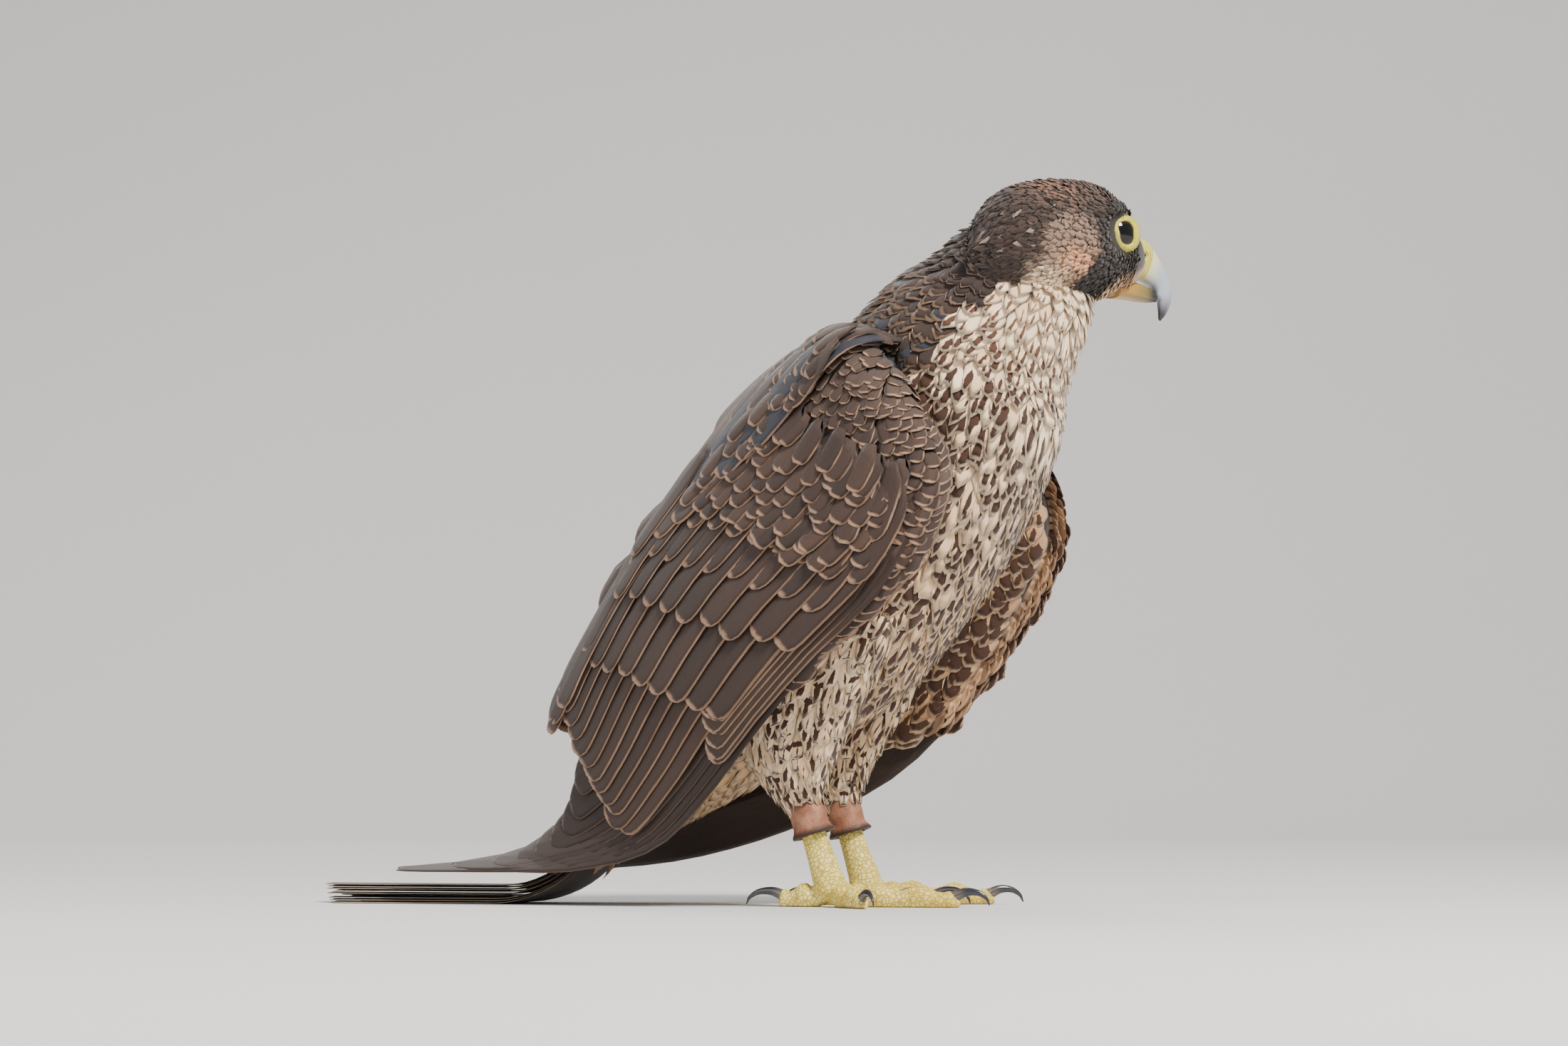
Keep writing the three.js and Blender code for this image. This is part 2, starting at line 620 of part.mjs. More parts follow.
// A hooked claw: it leaves the toe level, rises a little and curves down to the ground
function claw(side, spec) {
  const { ahead, across, root } = toeRun(side, spec);
  const base = root.addScaledVector(ahead, spec.length - 2.5);
  const reach = spec.claw * 0.8;
  const path = spline([[0, 4.2], [0.32, 6.2], [0.66, 6], [0.9, 3.9], [1, 1]]);
  const rows = 6;
  return loft(times(rows + 1, (i) => {
    const share = i / rows;
    const radius = lerp(2.5, 0.28, share ** 0.85);
    const [forward, z] = path(share);
    const [f0, z0] = path(share - 0.05);
    const [f1, z1] = path(share + 0.05);
    const up = ahead.clone().multiplyScalar(z0 - z1).add(point(0, 0, (f1 - f0) * reach)).normalize();
    const middle = base.clone().addScaledVector(ahead, forward * reach).add(point(0, 0, z));
    return around(6, (turn) => (
      middle.clone().addScaledVector(across, 0.8 * radius * Math.cos(turn)).addScaledVector(up, radius * Math.sin(turn))));
  }));
}

// Assembly. Pieces that meet are cut by their neighbour grown by the gap.
const SIDES = { right: -1, left: 1 };
const ground = halfSpace({ x: 0, z: 0, tilt: 90 }, false);
const parts = [];
const add = (name, look, solid) => parts.push({ name, look, solid: largest(solid) });

const wholeTrunk = trunk();
const trunkGrown = trunk(GAP);
const skullGrown = skull(GAP);
const billGrown = upperBill(GAP);
const jawGrown = lowerBill(GAP);
add('torso', 'breast', cutBy(wholeTrunk, [halfSpace(NECK_PLANE, true), skullGrown, ground]));
add('neck', 'nape', cutBy(wholeTrunk, [halfSpace(NECK_PLANE, false, GAP), skullGrown, billGrown, jawGrown]));

// On the head itself the bird's right is the positive side
const headSolid = join([skull(), lid(1), lid(-1), brow(1), brow(-1)]);
add('head', 'crown', cutBy(headSolid, [billGrown, jawGrown, eyeball(1, GAP), eyeball(-1, GAP)]));
add('eye_right', 'eye', eyeball(1));
add('eye_left', 'eye', eyeball(-1));
const [billFront, billBack] = billEnds();
add('cere', 'bare_skin', cutBy(upperBill(), [billFront, nostril(1), nostril(-1)]));
add('bill_upper', 'horn', cutBy(upperBill(), [billBack]));
add('bill_lower', 'horn', cutBy(lowerBill(), [billGrown]));

const legTools = [];
for (const [name, side] of Object.entries(SIDES)) {
  const thighGrown = thigh(side, GAP);
  const shankGrown = shank(side, GAP);
  add(`thigh_${name}`, 'thigh', cutBy(thigh(side), [trunkGrown]));
  add(`shank_${name}`, 'bare_skin', cutBy(shank(side), [thighGrown, trunkGrown]));
  add(`anklet_${name}`, 'leather', cutBy(cuff(side), [thighGrown]));
  const done = [shankGrown];
  for (const spec of TOES) {
    const toeGrown = toe(side, spec, GAP);
    add(`toe_${name}_${spec.name}`, 'bare_skin', cutBy(toe(side, spec), [...done, ground]));
    add(`claw_${name}_${spec.name}`, 'claw', cutBy(claw(side, spec), [toeGrown, ground]));
    done.push(toeGrown);
  }
  legTools.push(thighGrown, shankGrown);
}

add('tail', 'flight_feather', cutBy(tail(), [trunkGrown]));
const tailGrown = tail(GAP);
for (const [name, side] of Object.entries(SIDES)) {
  const otherHalf = new THREE.BoxGeometry(900, 900, 900);
  otherHalf.translate(0, -side * (450 - GAP / 2), 0);
  const tools = [trunkGrown, ...legTools, tailGrown, solidOf(otherHalf), ground];
  add(`wing_${name}`, 'flight_feather', cutBy(wing(name, side), tools));
}

// Colours and roughness
const LOOKS = {
  breast: [0.78, 0.62, 0.47, 0.85],
  nape: [0.16, 0.11, 0.09, 0.85],
  crown: [0.2, 0.13, 0.1, 0.85],
  thigh: [0.75, 0.6, 0.45, 0.9],
  flight_feather: [0.16, 0.105, 0.08, 0.6],
  bare_skin: [0.83, 0.72, 0.2, 0.5],
  horn: [0.45, 0.5, 0.56, 0.3],
  claw: [0.07, 0.065, 0.07, 0.25],
  eye: [0.02, 0.014, 0.012, 0.05],
  leather: [0.36, 0.2, 0.13, 0.6],
};
const outline = new THREE.Box3();
for (const part of parts) {
  part.geometry = geometryOf(part.solid);
  part.geometry.computeBoundingBox();
  outline.union(part.geometry.boundingBox);
}
const middle = outline.getCenter(point(0, 0, 0));

// Welds corners nearer than a micron and keeps the outer surface, until nothing more falls away
function settled(geometry) {
  let solid = solidOf(geometry, 1e-3);
  for (let round = 0; round < 3; round++) {
    solid = solidOf(geometryOf(largest(solid).asOriginal().simplify(0.03)), 1e-3);
  }
  return geometryOf(largest(solid));
}

const bird = new THREE.Group();
for (const { name, look, geometry } of parts) {
  const [r, g, b, roughness] = LOOKS[look];
  const material = new THREE.MeshStandardMaterial({ color: new THREE.Color(r, g, b), roughness, metalness: 0 });
  const mesh = new THREE.Mesh(settled(geometry.translate(-middle.x, -middle.y, 0)), material);
  mesh.name = name;
  bird.add(mesh);
}

export default bird;
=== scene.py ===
# A peregrine falcon in brown first-year plumage, dressed over its solids.
# Shapes are worked out in millimetres from the point on the ground midway between the feet,
# with +X the way the breast faces, +Y the bird's left and +Z up, and are moved to the frame at the end.

import math

import bpy
import numpy as np
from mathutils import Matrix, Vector, kdtree


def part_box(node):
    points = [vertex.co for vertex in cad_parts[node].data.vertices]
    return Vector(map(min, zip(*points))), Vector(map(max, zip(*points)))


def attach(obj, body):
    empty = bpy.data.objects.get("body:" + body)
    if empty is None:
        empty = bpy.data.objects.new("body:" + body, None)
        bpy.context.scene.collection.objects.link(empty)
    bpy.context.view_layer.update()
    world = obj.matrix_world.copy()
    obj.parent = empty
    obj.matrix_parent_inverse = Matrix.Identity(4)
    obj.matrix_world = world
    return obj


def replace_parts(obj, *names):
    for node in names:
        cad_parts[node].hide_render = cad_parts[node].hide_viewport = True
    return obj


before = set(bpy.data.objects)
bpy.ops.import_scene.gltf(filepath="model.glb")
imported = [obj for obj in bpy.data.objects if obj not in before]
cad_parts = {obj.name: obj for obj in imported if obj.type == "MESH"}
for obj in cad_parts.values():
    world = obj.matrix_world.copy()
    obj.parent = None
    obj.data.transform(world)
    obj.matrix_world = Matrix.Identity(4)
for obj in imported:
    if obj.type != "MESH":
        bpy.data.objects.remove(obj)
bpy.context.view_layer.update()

# Where the eyes' middle lies in the stance above. The solids tell where it is in the frame.
EYES_MIDDLE = np.array([101.606, 18.639, 271.0])
eye_middles = [sum(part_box(name), Vector()) / 2 for name in ("eye_right", "eye_left")]
SHIFT = np.array(sum(eye_middles, Vector()) / 2) * 1000 - EYES_MIDDLE
draw = np.random.default_rng(20)

# Trunk: middle x, middle z, half width, half depth to the front, half depth to the back
TRUNK = [
    (-90, 33, 13, 11, 11), (-72, 55, 27, 23, 22), (-42, 89, 39, 40, 38), (-10, 122, 46, 50, 52),
    (18, 160, 49, 53, 60), (36, 195, 48, 54, 55), (51, 223, 41, 49, 44), (66, 243, 32, 40, 35),
    (76, 258, 28, 34, 31), (84, 270, 21, 25, 21),
]
# Head: forward, middle height, half width, half height up, half height down
HEAD = np.array([91.0, 6.0, 268.0])
HEAD_TURN = math.radians(50)
SKULL = [
    (-41, -4, 7, 7, 12), (-37, -2, 14, 13, 18), (-29, 0, 20, 19.5, 22), (-18, 0, 24, 23.5, 25),
    (-6, 0, 25, 25.3, 25.5), (5, 0, 25, 25.2, 25), (13, 0, 23.8, 23.8, 24), (20, -1, 21.3, 20.8, 21),
    (26, -3, 17.5, 16, 17), (31.5, -5, 13, 11, 13), (35, -7, 9, 7, 9),
]
EYE = {"forward": 16.5, "side": 13.2, "up": 3, "radius": 8.8, "look": math.radians(2)}
# Bill: ridge forward, ridge up, edge forward, edge up, half width
UPPER_BILL = [
    (28, 2, 24, -12.5, 8.8), (35, 2, 31, -13, 8), (40, 0, 36, -13.8, 6.9), (45, -5.4, 40.5, -15.8, 5.4),
    (49, -11, 42.6, -17, 4.2), (51.2, -17, 44, -19.2, 3.2), (51.4, -22.4, 45.6, -22.6, 2.3),
    (49.4, -27.4, 46, -26, 1.4), (46.8, -30.4, 46, -29.4, 0.5),
]
# Lower bill: forward, top, bottom, half width
LOWER_BILL = [(23, -14, -22, 7.6), (30, -14.6, -22.4, 6.4), (36, -15.6, -23, 5), (40.6, -17.2, -23.2, 3.7),
              (44, -19.6, -22.9, 2.2)]
# Folded wings: the lower, leading edge and the upper edge, from the shoulder to the tip
WINGS = {
    "right": (
        [(40, 52, 212), (56, 64, 193), (65, 69, 172), (60.5, 71, 150), (44.5, 72, 127), (14, 70, 101),
         (-13, 64, 75), (-38, 55, 48), (-62, 46, 29), (-94, 39, 20), (-135, 31, 16), (-210, 20, 13)],
        [(33, 38, 226), (8, 30, 229), (-20, 20, 215), (-46, 12, 193), (-68, 8, 166), (-90, 6, 135),
         (-110, 5, 101), (-126, 5, 69), (-142, 6, 44), (-160, 7, 29), (-180, 8, 21), (-216, 8, 15)]),
    "left": (
        [(44, 52, 210), (61, 62, 188), (71, 69, 160), (65, 73, 136), (51, 75, 113), (31, 74, 86),
         (3, 68, 58), (-26, 60, 42), (-58, 50, 30), (-94, 41, 21), (-135, 33, 16), (-210, 22, 13)],
        [(33, 38, 226), (10, 30, 229), (-18, 20, 215), (-44, 12, 193), (-66, 8, 166), (-88, 6, 135),
         (-108, 5, 101), (-124, 5, 69), (-140, 6, 44), (-158, 7, 29), (-180, 8, 21), (-216, 8, 15)]),
}
SIDES = {"right": -1, "left": 1}
STATIONS = 11
WING_BULGE = 13
ARM = {"from": 0.15, "to": 5, "thick": 17, "cover": 8.2, "rim": 1}
# Tiers of wing feathers: count, half width, height over the wing, rise from each to the next,
# and the places [along, across] of root, middle and tip for a tier's first and last feather
WING_TIERS = {
    "primary": (10, 10, 0, 0.4,
        ((3.4, 0.06), (4.7, 0.26)), ((7.2, 0.04), (5.9, 0.42)), ((10.7, 0.2), (7.1, 0.7))),
    "secondary": (12, 11, 4.0, 0.25,
        ((4.1, 0.2), (4.2, 0.92)), ((5.9, 0.2), (5.1, 0.94)), ((8.0, 0.27), (6.5, 0.97))),
    "primary_covert": (8, 7, 5, 0.2,
        ((3.3, 0.05), (4.2, 0.2)), ((4.6, 0.03), (4.9, 0.16)), ((6.6, 0.05), (6.0, 0.2))),
    "greater_covert": (9, 9.5, 7, 0.15,
        ((3.3, 0.18), (3.8, 0.9)), ((4.6, 0.14), (4.7, 0.9)), ((6.1, 0.16), (6.0, 0.9))),
    "tertial": (3, 13, 8, 0.5,
        ((3.8, 0.86), (4.0, 0.97)), ((5.2, 0.9), (5.4, 0.98)), ((6.6, 0.93), (7.0, 0.98))),
    "median_covert": (9, 9, 8.8, 0.1,
        ((3.2, 0.12), (3.6, 0.86)), ((4.0, 0.1), (4.3, 0.86)), ((5.1, 0.1), (5.3, 0.86))),
    "upper_median": (9, 8.5, 9.3, 0.1,
        ((2.9, 0.18), (3.3, 0.9)), ((3.6, 0.15), (3.9, 0.9)), ((4.6, 0.13), (4.8, 0.9))),
    "lower_lesser": (9, 8, 9.8, 0.1,
        ((2.5, 0.11), (2.8, 0.8)), ((3.1, 0.1), (3.4, 0.8)), ((4.1, 0.09), (4.3, 0.8))),
    "upper_lesser": (9, 7.5, 10.2, 0.1,
        ((2.2, 0.16), (2.4, 0.78)), ((2.7, 0.14), (2.9, 0.78)), ((3.6, 0.12), (3.8, 0.78))),
    "scapular_5": (5, 10.5, 11, 0.12,
        ((3.0, 0.74), (3.9, 0.99)), ((3.6, 0.77), (4.6, 1.0)), ((4.3, 0.8), (5.5, 1.0))),
    "scapular_4": (5, 10.5, 11.6, 0.12,
        ((2.3, 0.7), (3.2, 0.99)), ((2.9, 0.72), (3.9, 1.0)), ((3.6, 0.75), (4.7, 1.0))),
    "scapular_3": (5, 10, 12, 0.12,
        ((1.6, 0.66), (2.5, 0.99)), ((2.2, 0.68), (3.1, 1.0)), ((2.9, 0.7), (3.9, 1.0))),
    "scapular_2": (5, 9, 12.4, 0.12,
        ((0.9, 0.62), (1.8, 1.0)), ((1.5, 0.64), (2.4, 1.0)), ((2.2, 0.66), (3.1, 1.0))),
    "scapular_1": (5, 8, 12.8, 0.12,
        ((0.3, 0.6), (1.1, 1.0)), ((0.8, 0.62), (1.7, 1.0)), ((1.5, 0.64), (2.4, 1.0))),
}
TAIL = {"x": -76, "z": 54, "slope": math.radians(50), "bend": 55, "length": 175, "pairs": 6,
        "half_width": 11.5, "root_spread": 5, "tip_spread": 18, "stack": 0.9}
# Thigh: x, side, z, radius across, radius fore and aft. Shank: x, z and the same two radii.
THIGH = [(9, 20, 130, 13, 20), (5, 25, 117, 20, 30), (-6, 28, 94, 20, 30), (-13, 26, 70, 17, 24),
         (-14, 24, 52, 12.5, 15.5), (-11, 22.5, 41, 8.4, 9.6)]
SHANK = [(-13, 52, 4.6, 5.4), (-8.5, 38, 4.6, 5.4), (-4, 24, 4.8, 5.6), (0, 13, 6.2, 6.6), (1.5, 6, 6.6, 6.6)]
FOOT_SIDE = 22
FOOT_HEADING = {"right": 8, "left": 28}
# Toes: heading from the foot's own in degrees, length, thickness, claw length
TOES = {"hind": (172, 22, 4.3, 21), "inner": (34, 33, 4.2, 20), "middle": (0, 53, 4.2, 18),
        "outer": (-58, 38, 3.9, 16)}
CERE_SHARE = 0.235
NOSTRIL = {"forward": 34.3, "side": 7.1, "up": -4.6, "radii": (0.5, 1.25, 1.25)}
# Lid in section: share of the way from its inner to its outer edge, and distance from the eye's middle
LID_PROFILE = [(0.0, 8.6), (0.0, 9.1), (0.1, 9.5), (0.25, 9.6), (0.5, 9.7), (0.8, 9.65), (1.0, 9.3),
               (1.0, 8.5)]
ANKLET = {"low": 29, "high": 42, "inside": 6.15, "wall": 1.2, "flare": 1.6}
# Depth of the feathers over the skin, and size of the cells and rounds of smoothing that make a skin
COAT_DEPTH = {"trunk": 3.6, "head": 1.2, "thigh": 3.0, "arm": 2.2}
SKIN_MAKING = (1.8, 6)
FOOT_MAKING = (0.7, 2)
CAMERA_TURN = math.radians(20)
CAMERA_DISTANCE = 2600
CAMERA_LENS = 146.8
CAMERA_HEIGHT = 60
CAMERA_TARGET = (-25, 155.5)
# Backdrop: where its floor starts and ends behind the bird, radius of its bend, height above it, half width
SWEEP = (-3000, 2200, 900, 3000, 4500)
# Lights: place in metres, size, power, colour
LIGHTS = {"key": ((1.5, -1.0, 2.0), 0.6, 125, (1.0, 0.955, 0.89)),
          "fill": ((-1.3, -2.2, 1.2), 2.0, 26, (0.93, 0.96, 1.0)),
          "back": ((-1.2, 1.9, 1.9), 1.4, 30, (1.0, 0.98, 0.95))}
LIT_PLACE = Vector((0.0, 0.0, 0.15))
STUDIO = {"Color": (0.95, 0.97, 1.0, 1), "Strength": 0.55}
SKIN_SHADE = 0.8
TURN = 2 * math.pi

# Colours, as a screen shows them
DARK = (0.17, 0.118, 0.095)
BROWN = (0.30, 0.215, 0.17)
GREY_BROWN = (0.40, 0.325, 0.285)
BLUE_BLACK = (0.16, 0.165, 0.20)
FRINGE = (0.66, 0.52, 0.415)
CREAM = (0.985, 0.885, 0.75)
BUFF = (0.86, 0.70, 0.53)
OCHRE = (0.80, 0.64, 0.44)
SPOT = (0.25, 0.15, 0.10)
PALE_SPOT = (0.46, 0.31, 0.22)
FACE_DARK = (0.15, 0.105, 0.09)
RUST = (0.47, 0.335, 0.265)
WHITE = (0.95, 0.92, 0.86)


def linear(colour):
    value = np.asarray(colour, float)
    return np.where(value < 0.04, value / 12.92, ((value + 0.055) / 1.055) ** 2.4)


def blend(first, second, share):
    share = np.asarray(share, float)[..., None]
    return np.asarray(first, float) * (1 - share) + np.asarray(second, float) * share


def smooth(value, low, high):
    share = np.clip((np.asarray(value, float) - low) / (high - low), 0, 1)
    return share * share * (3 - 2 * share)


def hill(*terms):
    """1 at a middle, falling off round it. Each term is a value, its middle and the width of the fall."""
    return np.exp(-sum(((value - middle) / width) ** 2 for value, middle, width in terms))


def round_turns(count):
    return np.linspace(0, TURN, count, endpoint=False)


def unit(vectors):
    return vectors / np.maximum(np.linalg.norm(vectors, axis=-1, keepdims=True), 1e-9)


def spline(rows):
    """A smooth run through rows of numbers, straight on beyond its ends."""
    rows = np.array(rows, float)
    padded = np.vstack([2 * rows[0] - rows[1], rows, 2 * rows[-1] - rows[-2]])
    last = len(rows) - 1

    def at(share):
        share = np.asarray(share, float)
        inside = np.clip(share, 0, 1)
        t = inside * last
        i = np.minimum(t.astype(int), last - 1)
        w = (t - i)[..., None]
        p, q, r, s = (padded[i + k] for k in range(4))
        square, cube = 2 * p - 5 * q + 4 * r - s, 3 * q - p - 3 * r + s
        value = 0.5 * (2 * q + (r - p) * w + square * w**2 + cube * w**3)
        over = (share - inside)[..., None] * last
        slope = np.where(over > 0, rows[-1] - rows[-2], rows[1] - rows[0])
        return value + over * slope

    return at


class Surface:
    """Gives a point for two numbers, with its outward side and slopes. borders are the numbers' ranges."""
    STEP = 2e-3

    def __init__(self, place, sample, inside, borders, flip=1):
        self.place, self.borders = place, borders
        self.turned = 1
        point, _, _, normal = self.frame(np.array(sample[0]), np.array(sample[1]))
        self.turned = flip * math.copysign(1, float(np.dot(normal, point - np.array(inside, float))))

    def frame(self, a, b):
        along = (self.place(a + self.STEP, b) - self.place(a - self.STEP, b)) / (2 * self.STEP)
        over = (self.place(a, b + self.STEP) - self.place(a, b - self.STEP)) / (2 * self.STEP)
        return self.place(a, b), along, over, unit(np.cross(along, over)) * self.turned

    def unwrap(self, a, b):
        """A place on the unwrap of the surface's own shape, kept inside its border."""
        (a_low, a_high), (b_low, b_high) = self.borders
        u = (a - a_low) / (a_high - a_low)
        v = ((b - b_low) / (b_high - b_low)) % 1.0
        return np.clip(np.stack([u, v], -1) * 0.98 + 0.01, 0.005, 0.995)

    def spread(self, a_range, b_range, spacing, shake=0.3):
        """Places spread evenly over the surface in staggered rows, spacing apart in millimetres."""
        def evenly(values, points, gap, offset):
            steps = np.linalg.norm(np.diff(points, axis=0), axis=1)
            run = np.concatenate([[0], np.cumsum(steps)])
            count = max(2, int(run[-1] / gap))
            return np.interp((np.arange(count) + offset) / count * run[-1], run, values)

        line = np.linspace(*a_range, 200)
        middle = self.place(line, np.full(200, np.mean(b_range)))
        run = np.linalg.norm(np.diff(middle, axis=0), axis=1).sum()
        a_gap = (a_range[1] - a_range[0]) * spacing[0] / max(run, 1)
        found = []
        for row, a in enumerate(evenly(line, middle, spacing[0], 0.5)):
            ring = np.linspace(*b_range, 120)
            b = evenly(ring, self.place(np.full(120, a), ring), spacing[1], 0.25 + 0.5 * (row % 2))
            b_gap = (b_range[1] - b_range[0]) / len(b)
            shaken = draw.uniform(-shake, shake, (2, len(b)))
            found.append(np.stack([a + shaken[0] * a_gap, b + shaken[1] * b_gap]))
        return np.hstack(found)


trunk_rows = spline(TRUNK)
skull_rows = spline(SKULL)
AHEAD = np.array([math.cos(HEAD_TURN), math.sin(HEAD_TURN), 0])
ASIDE = np.array([math.sin(HEAD_TURN), -math.cos(HEAD_TURN), 0])
UP = np.array([0.0, 0.0, 1.0])


def oval(rows, share, turn, inset):
    """Width and height of an egg-shaped ring whose front and back halves differ."""
    value = rows(share)
    depth = np.where(np.sin(turn) > 0, value[..., -2], value[..., -1])
    return value, (value[..., -3] - inset) * np.cos(turn), (depth - inset) * np.sin(turn)


def trunk_place(share, turn, inset=0.0):
    value, wide, deep = oval(trunk_rows, share, turn, inset)
    run = trunk_rows(share + 0.02) - trunk_rows(share - 0.02)
    run = unit(run[..., :2])
    lean = HEAD[1] * smooth(share, 0.75, 1)
    x = value[..., 0] + run[..., 1] * deep
    z = value[..., 1] - run[..., 0] * deep
    return np.stack([x, lean + wide, z], -1)


def head_point(forward, side, up):
    forward, side, up = np.broadcast_arrays(*(np.asarray(v, float)[..., None] for v in (forward, side, up)))
    return HEAD + AHEAD * forward + ASIDE * side + UP * up


def head_local(points):
    offset = points - HEAD
    return offset @ AHEAD, offset @ ASIDE, offset @ UP


def skull_place(share, turn, inset=0.0):
    value, wide, high = oval(skull_rows, share, turn, inset)
    forward, up = value[..., 0], value[..., 1] + high
    aside = np.abs(wide)
    brow = 4.4 * hill((forward, 14.5, 9), (up, 12.4, 3.0)) * smooth(aside, 9, 15)
    socket = 3.4 * hill((forward, 17, 6.5), (up, 3, 6)) * smooth(aside, 10, 17)
    return head_point(forward, np.sign(wide) * (aside + brow - socket), up)


def thigh_place(side):
    rows = spline([(x, side * y, z, across, fore) for x, y, z, across, fore in THIGH])

    def place(share, turn, inset=0.0):
        value = rows(share)
        x = value[..., 0] + (value[..., 4] - inset) * np.cos(turn)
        y = value[..., 1] + (value[..., 3] - inset) * np.sin(turn)
        return np.stack([x, y, value[..., 2] + 0 * turn], -1)
    return place


def wing_place(name):
    side = SIDES[name]
    low, high = (spline([(x, side * y, z) for x, y, z in edge]) for edge in WINGS[name])

    def place(along, across):
        t = along / STATIONS
        near = 0.1 / STATIONS
        bottom, top = low(t), high(t)
        run = low(t + near) + high(t + near) - low(t - near) - high(t - near)
        out = unit(np.cross(top - bottom, run)) * -side
        fade = smooth(STATIONS - along, 1.5, 6.5) * smooth(along, -0.6, 1.2)
        swell = WING_BULGE * fade * np.sin(np.pi * np.clip(across, 0, 1)) ** 0.8
        return bottom + (top - bottom) * across[..., None] + out * swell[..., None]
    return place


def arm_round(along, across):
    share = np.clip((along - ARM["from"]) / (ARM["to"] - ARM["from"]), 0, 1)
    edge = np.sqrt(np.maximum(1 - (2 * np.clip(across, 0, 1) - 1) ** 4, 0))
    return edge * np.sqrt(np.maximum(np.sin(np.pi * (0.05 + 0.88 * share)), 0))


def arm_face(wing, inner, inset=0.0):
    """The outer or inner face of the arm with its small coverts, over the wing's own surface."""
    def place(along, across):
        point, _, _, normal = wing.frame(along, across)
        bulge = arm_round(along, across)
        cover = ARM["cover"] * smooth(ARM["to"] + 0.1 - along + 1.2 * across, 0, 1.6) + ARM["rim"]
        height = -(ARM["thick"] * bulge + ARM["rim"] - inset) if inner else cover * bulge - inset
        return point + normal * height[..., None]
    return place


BODY = (0, 0, 120)
ROUND = ((0, 1), (0, TURN))
WING_BORDERS = ((0, STATIONS), (0, 1.02))
trunk = Surface(trunk_place, (0.5, 1.0), (18, 0, 160), ROUND)
skull = Surface(skull_place, (0.5, 1.0), HEAD, ROUND)
thighs = {name: Surface(thigh_place(side), (0.5, 1.0), (-6, side * 28, 90), ROUND)
          for name, side in SIDES.items()}
wings = {name: Surface(wing_place(name), (4.0, 0.5), BODY, WING_BORDERS) for name in SIDES}
arms = {name: Surface(arm_face(wings[name], False), (2.5, 0.5), BODY, WING_BORDERS) for name in SIDES}
linings = {name: Surface(arm_face(wings[name], True), (2.5, 0.5), BODY, WING_BORDERS, -1) for name in SIDES}


def tail_place(distance, aside):
    """The tail's upper face: down a slope, round an arc, then level on the ground."""
    slope, bend = TAIL["slope"], TAIL["bend"]
    straight = (TAIL["z"] - bend * (1 - math.cos(slope))) / math.sin(slope)
    angle = slope - np.clip((distance - straight) / bend, 0, slope)
    run = np.minimum(distance, straight)
    level = np.maximum(distance - straight - bend * slope, 0)
    x = TAIL["x"] - run * math.cos(slope) - bend * (math.sin(slope) - np.sin(angle)) - level
    z = TAIL["z"] - run * math.sin(slope) - bend * (np.cos(angle) - math.cos(slope))
    return np.stack([x, aside, z + 0 * aside], -1)


tail_face, tail_root = (Surface(tail_place, (60.0, 0.0), (-120, 0, -400), ((start, 190), (-30, 30)))
                        for start in (0, -10))


# Meshes
def add_object(name, data):
    thing = bpy.data.objects.new(name, data)
    bpy.context.scene.collection.objects.link(thing)
    return thing


def new_object(name, points, faces, material, uv=None, attributes=None):
    """A smooth mesh from points in millimetres and its triangles."""
    mesh = bpy.data.meshes.new(name)
    mesh.vertices.add(len(points))
    mesh.vertices.foreach_set("co", ((points + SHIFT) / 1000).astype(np.float32).ravel())
    mesh.loops.add(faces.size)
    mesh.loops.foreach_set("vertex_index", faces.astype(np.int32).ravel())
    mesh.polygons.add(len(faces))
    mesh.polygons.foreach_set("loop_start", np.arange(len(faces), dtype=np.int32) * faces.shape[1])
    mesh.update(calc_edges=True)
    mesh.validate()
    if uv is not None:
        layer = mesh.uv_layers.new(name="OFBake")
        layer.data.foreach_set("uv", uv[faces.ravel()].astype(np.float32).ravel())
    for key, values in (attributes or {}).items():
        store = mesh.attributes.new(key, "FLOAT_VECTOR", "POINT")
        store.data.foreach_set("vector", values.astype(np.float32).ravel())
    mesh.polygons.foreach_set("use_smooth", np.ones(len(faces), bool))
    piece = add_object(name, mesh)
    piece.data.materials.append(material)
    return piece


def outward(points, faces):
    """The same triangles, turned so that a closed surface faces out."""
    a, b, c = (points[faces[:, k]] for k in range(3))
    volume = np.einsum("ij,ij->i", a, np.cross(b, c)).sum()
    return faces if volume > 0 else faces[:, ::-1]


def loft(rings):
    """Points and triangles of a closed tube through rings (count, sides, 3), with capped ends."""
    count, sides, _ = rings.shape
    points = np.vstack([rings.reshape(-1, 3), rings[0].mean(0)[None], rings[-1].mean(0)[None]])
    i, j = np.meshgrid(np.arange(count - 1), np.arange(sides), indexing="ij")
    a, b = (i * sides + j).ravel(), (i * sides + (j + 1) % sides).ravel()
    walls = np.vstack([np.stack([a, b, b + sides], 1), np.stack([a, b + sides, a + sides], 1)])
    k = np.arange(sides)
    after = (k + 1) % sides
    start, end = count * sides, count * sides + 1
    last = (count - 1) * sides
    caps = np.vstack([np.stack([after, k, k * 0 + start], 1),
                      np.stack([last + k, last + after, k * 0 + end], 1)])
    faces = np.vstack([walls, caps])
    return points, outward(points, faces)


def hoop(sections, middle):
    """Points and triangles of a closed band of sections (count, sides, 3), the last joined to the first."""
    count, sides = sections.shape[:2]
    i, j = np.meshgrid(np.arange(count), np.arange(sides), indexing="ij")
    here, after = i * sides, (i + 1) % count * sides
    beside = (j + 1) % sides
    corners = (here + j, here + beside, after + beside, after + j)
    a, b, c, d = (corner.ravel() for corner in corners)
    points = sections.reshape(-1, 3)
    faces = np.vstack([np.stack([a, b, c], 1), np.stack([a, c, d], 1)])
    return points, outward(points - middle, faces)


# Feathers. Each takes a patch of the unwrap, twice HALF_PATCH across, at its root.
HALF_PATCH = 0.0015


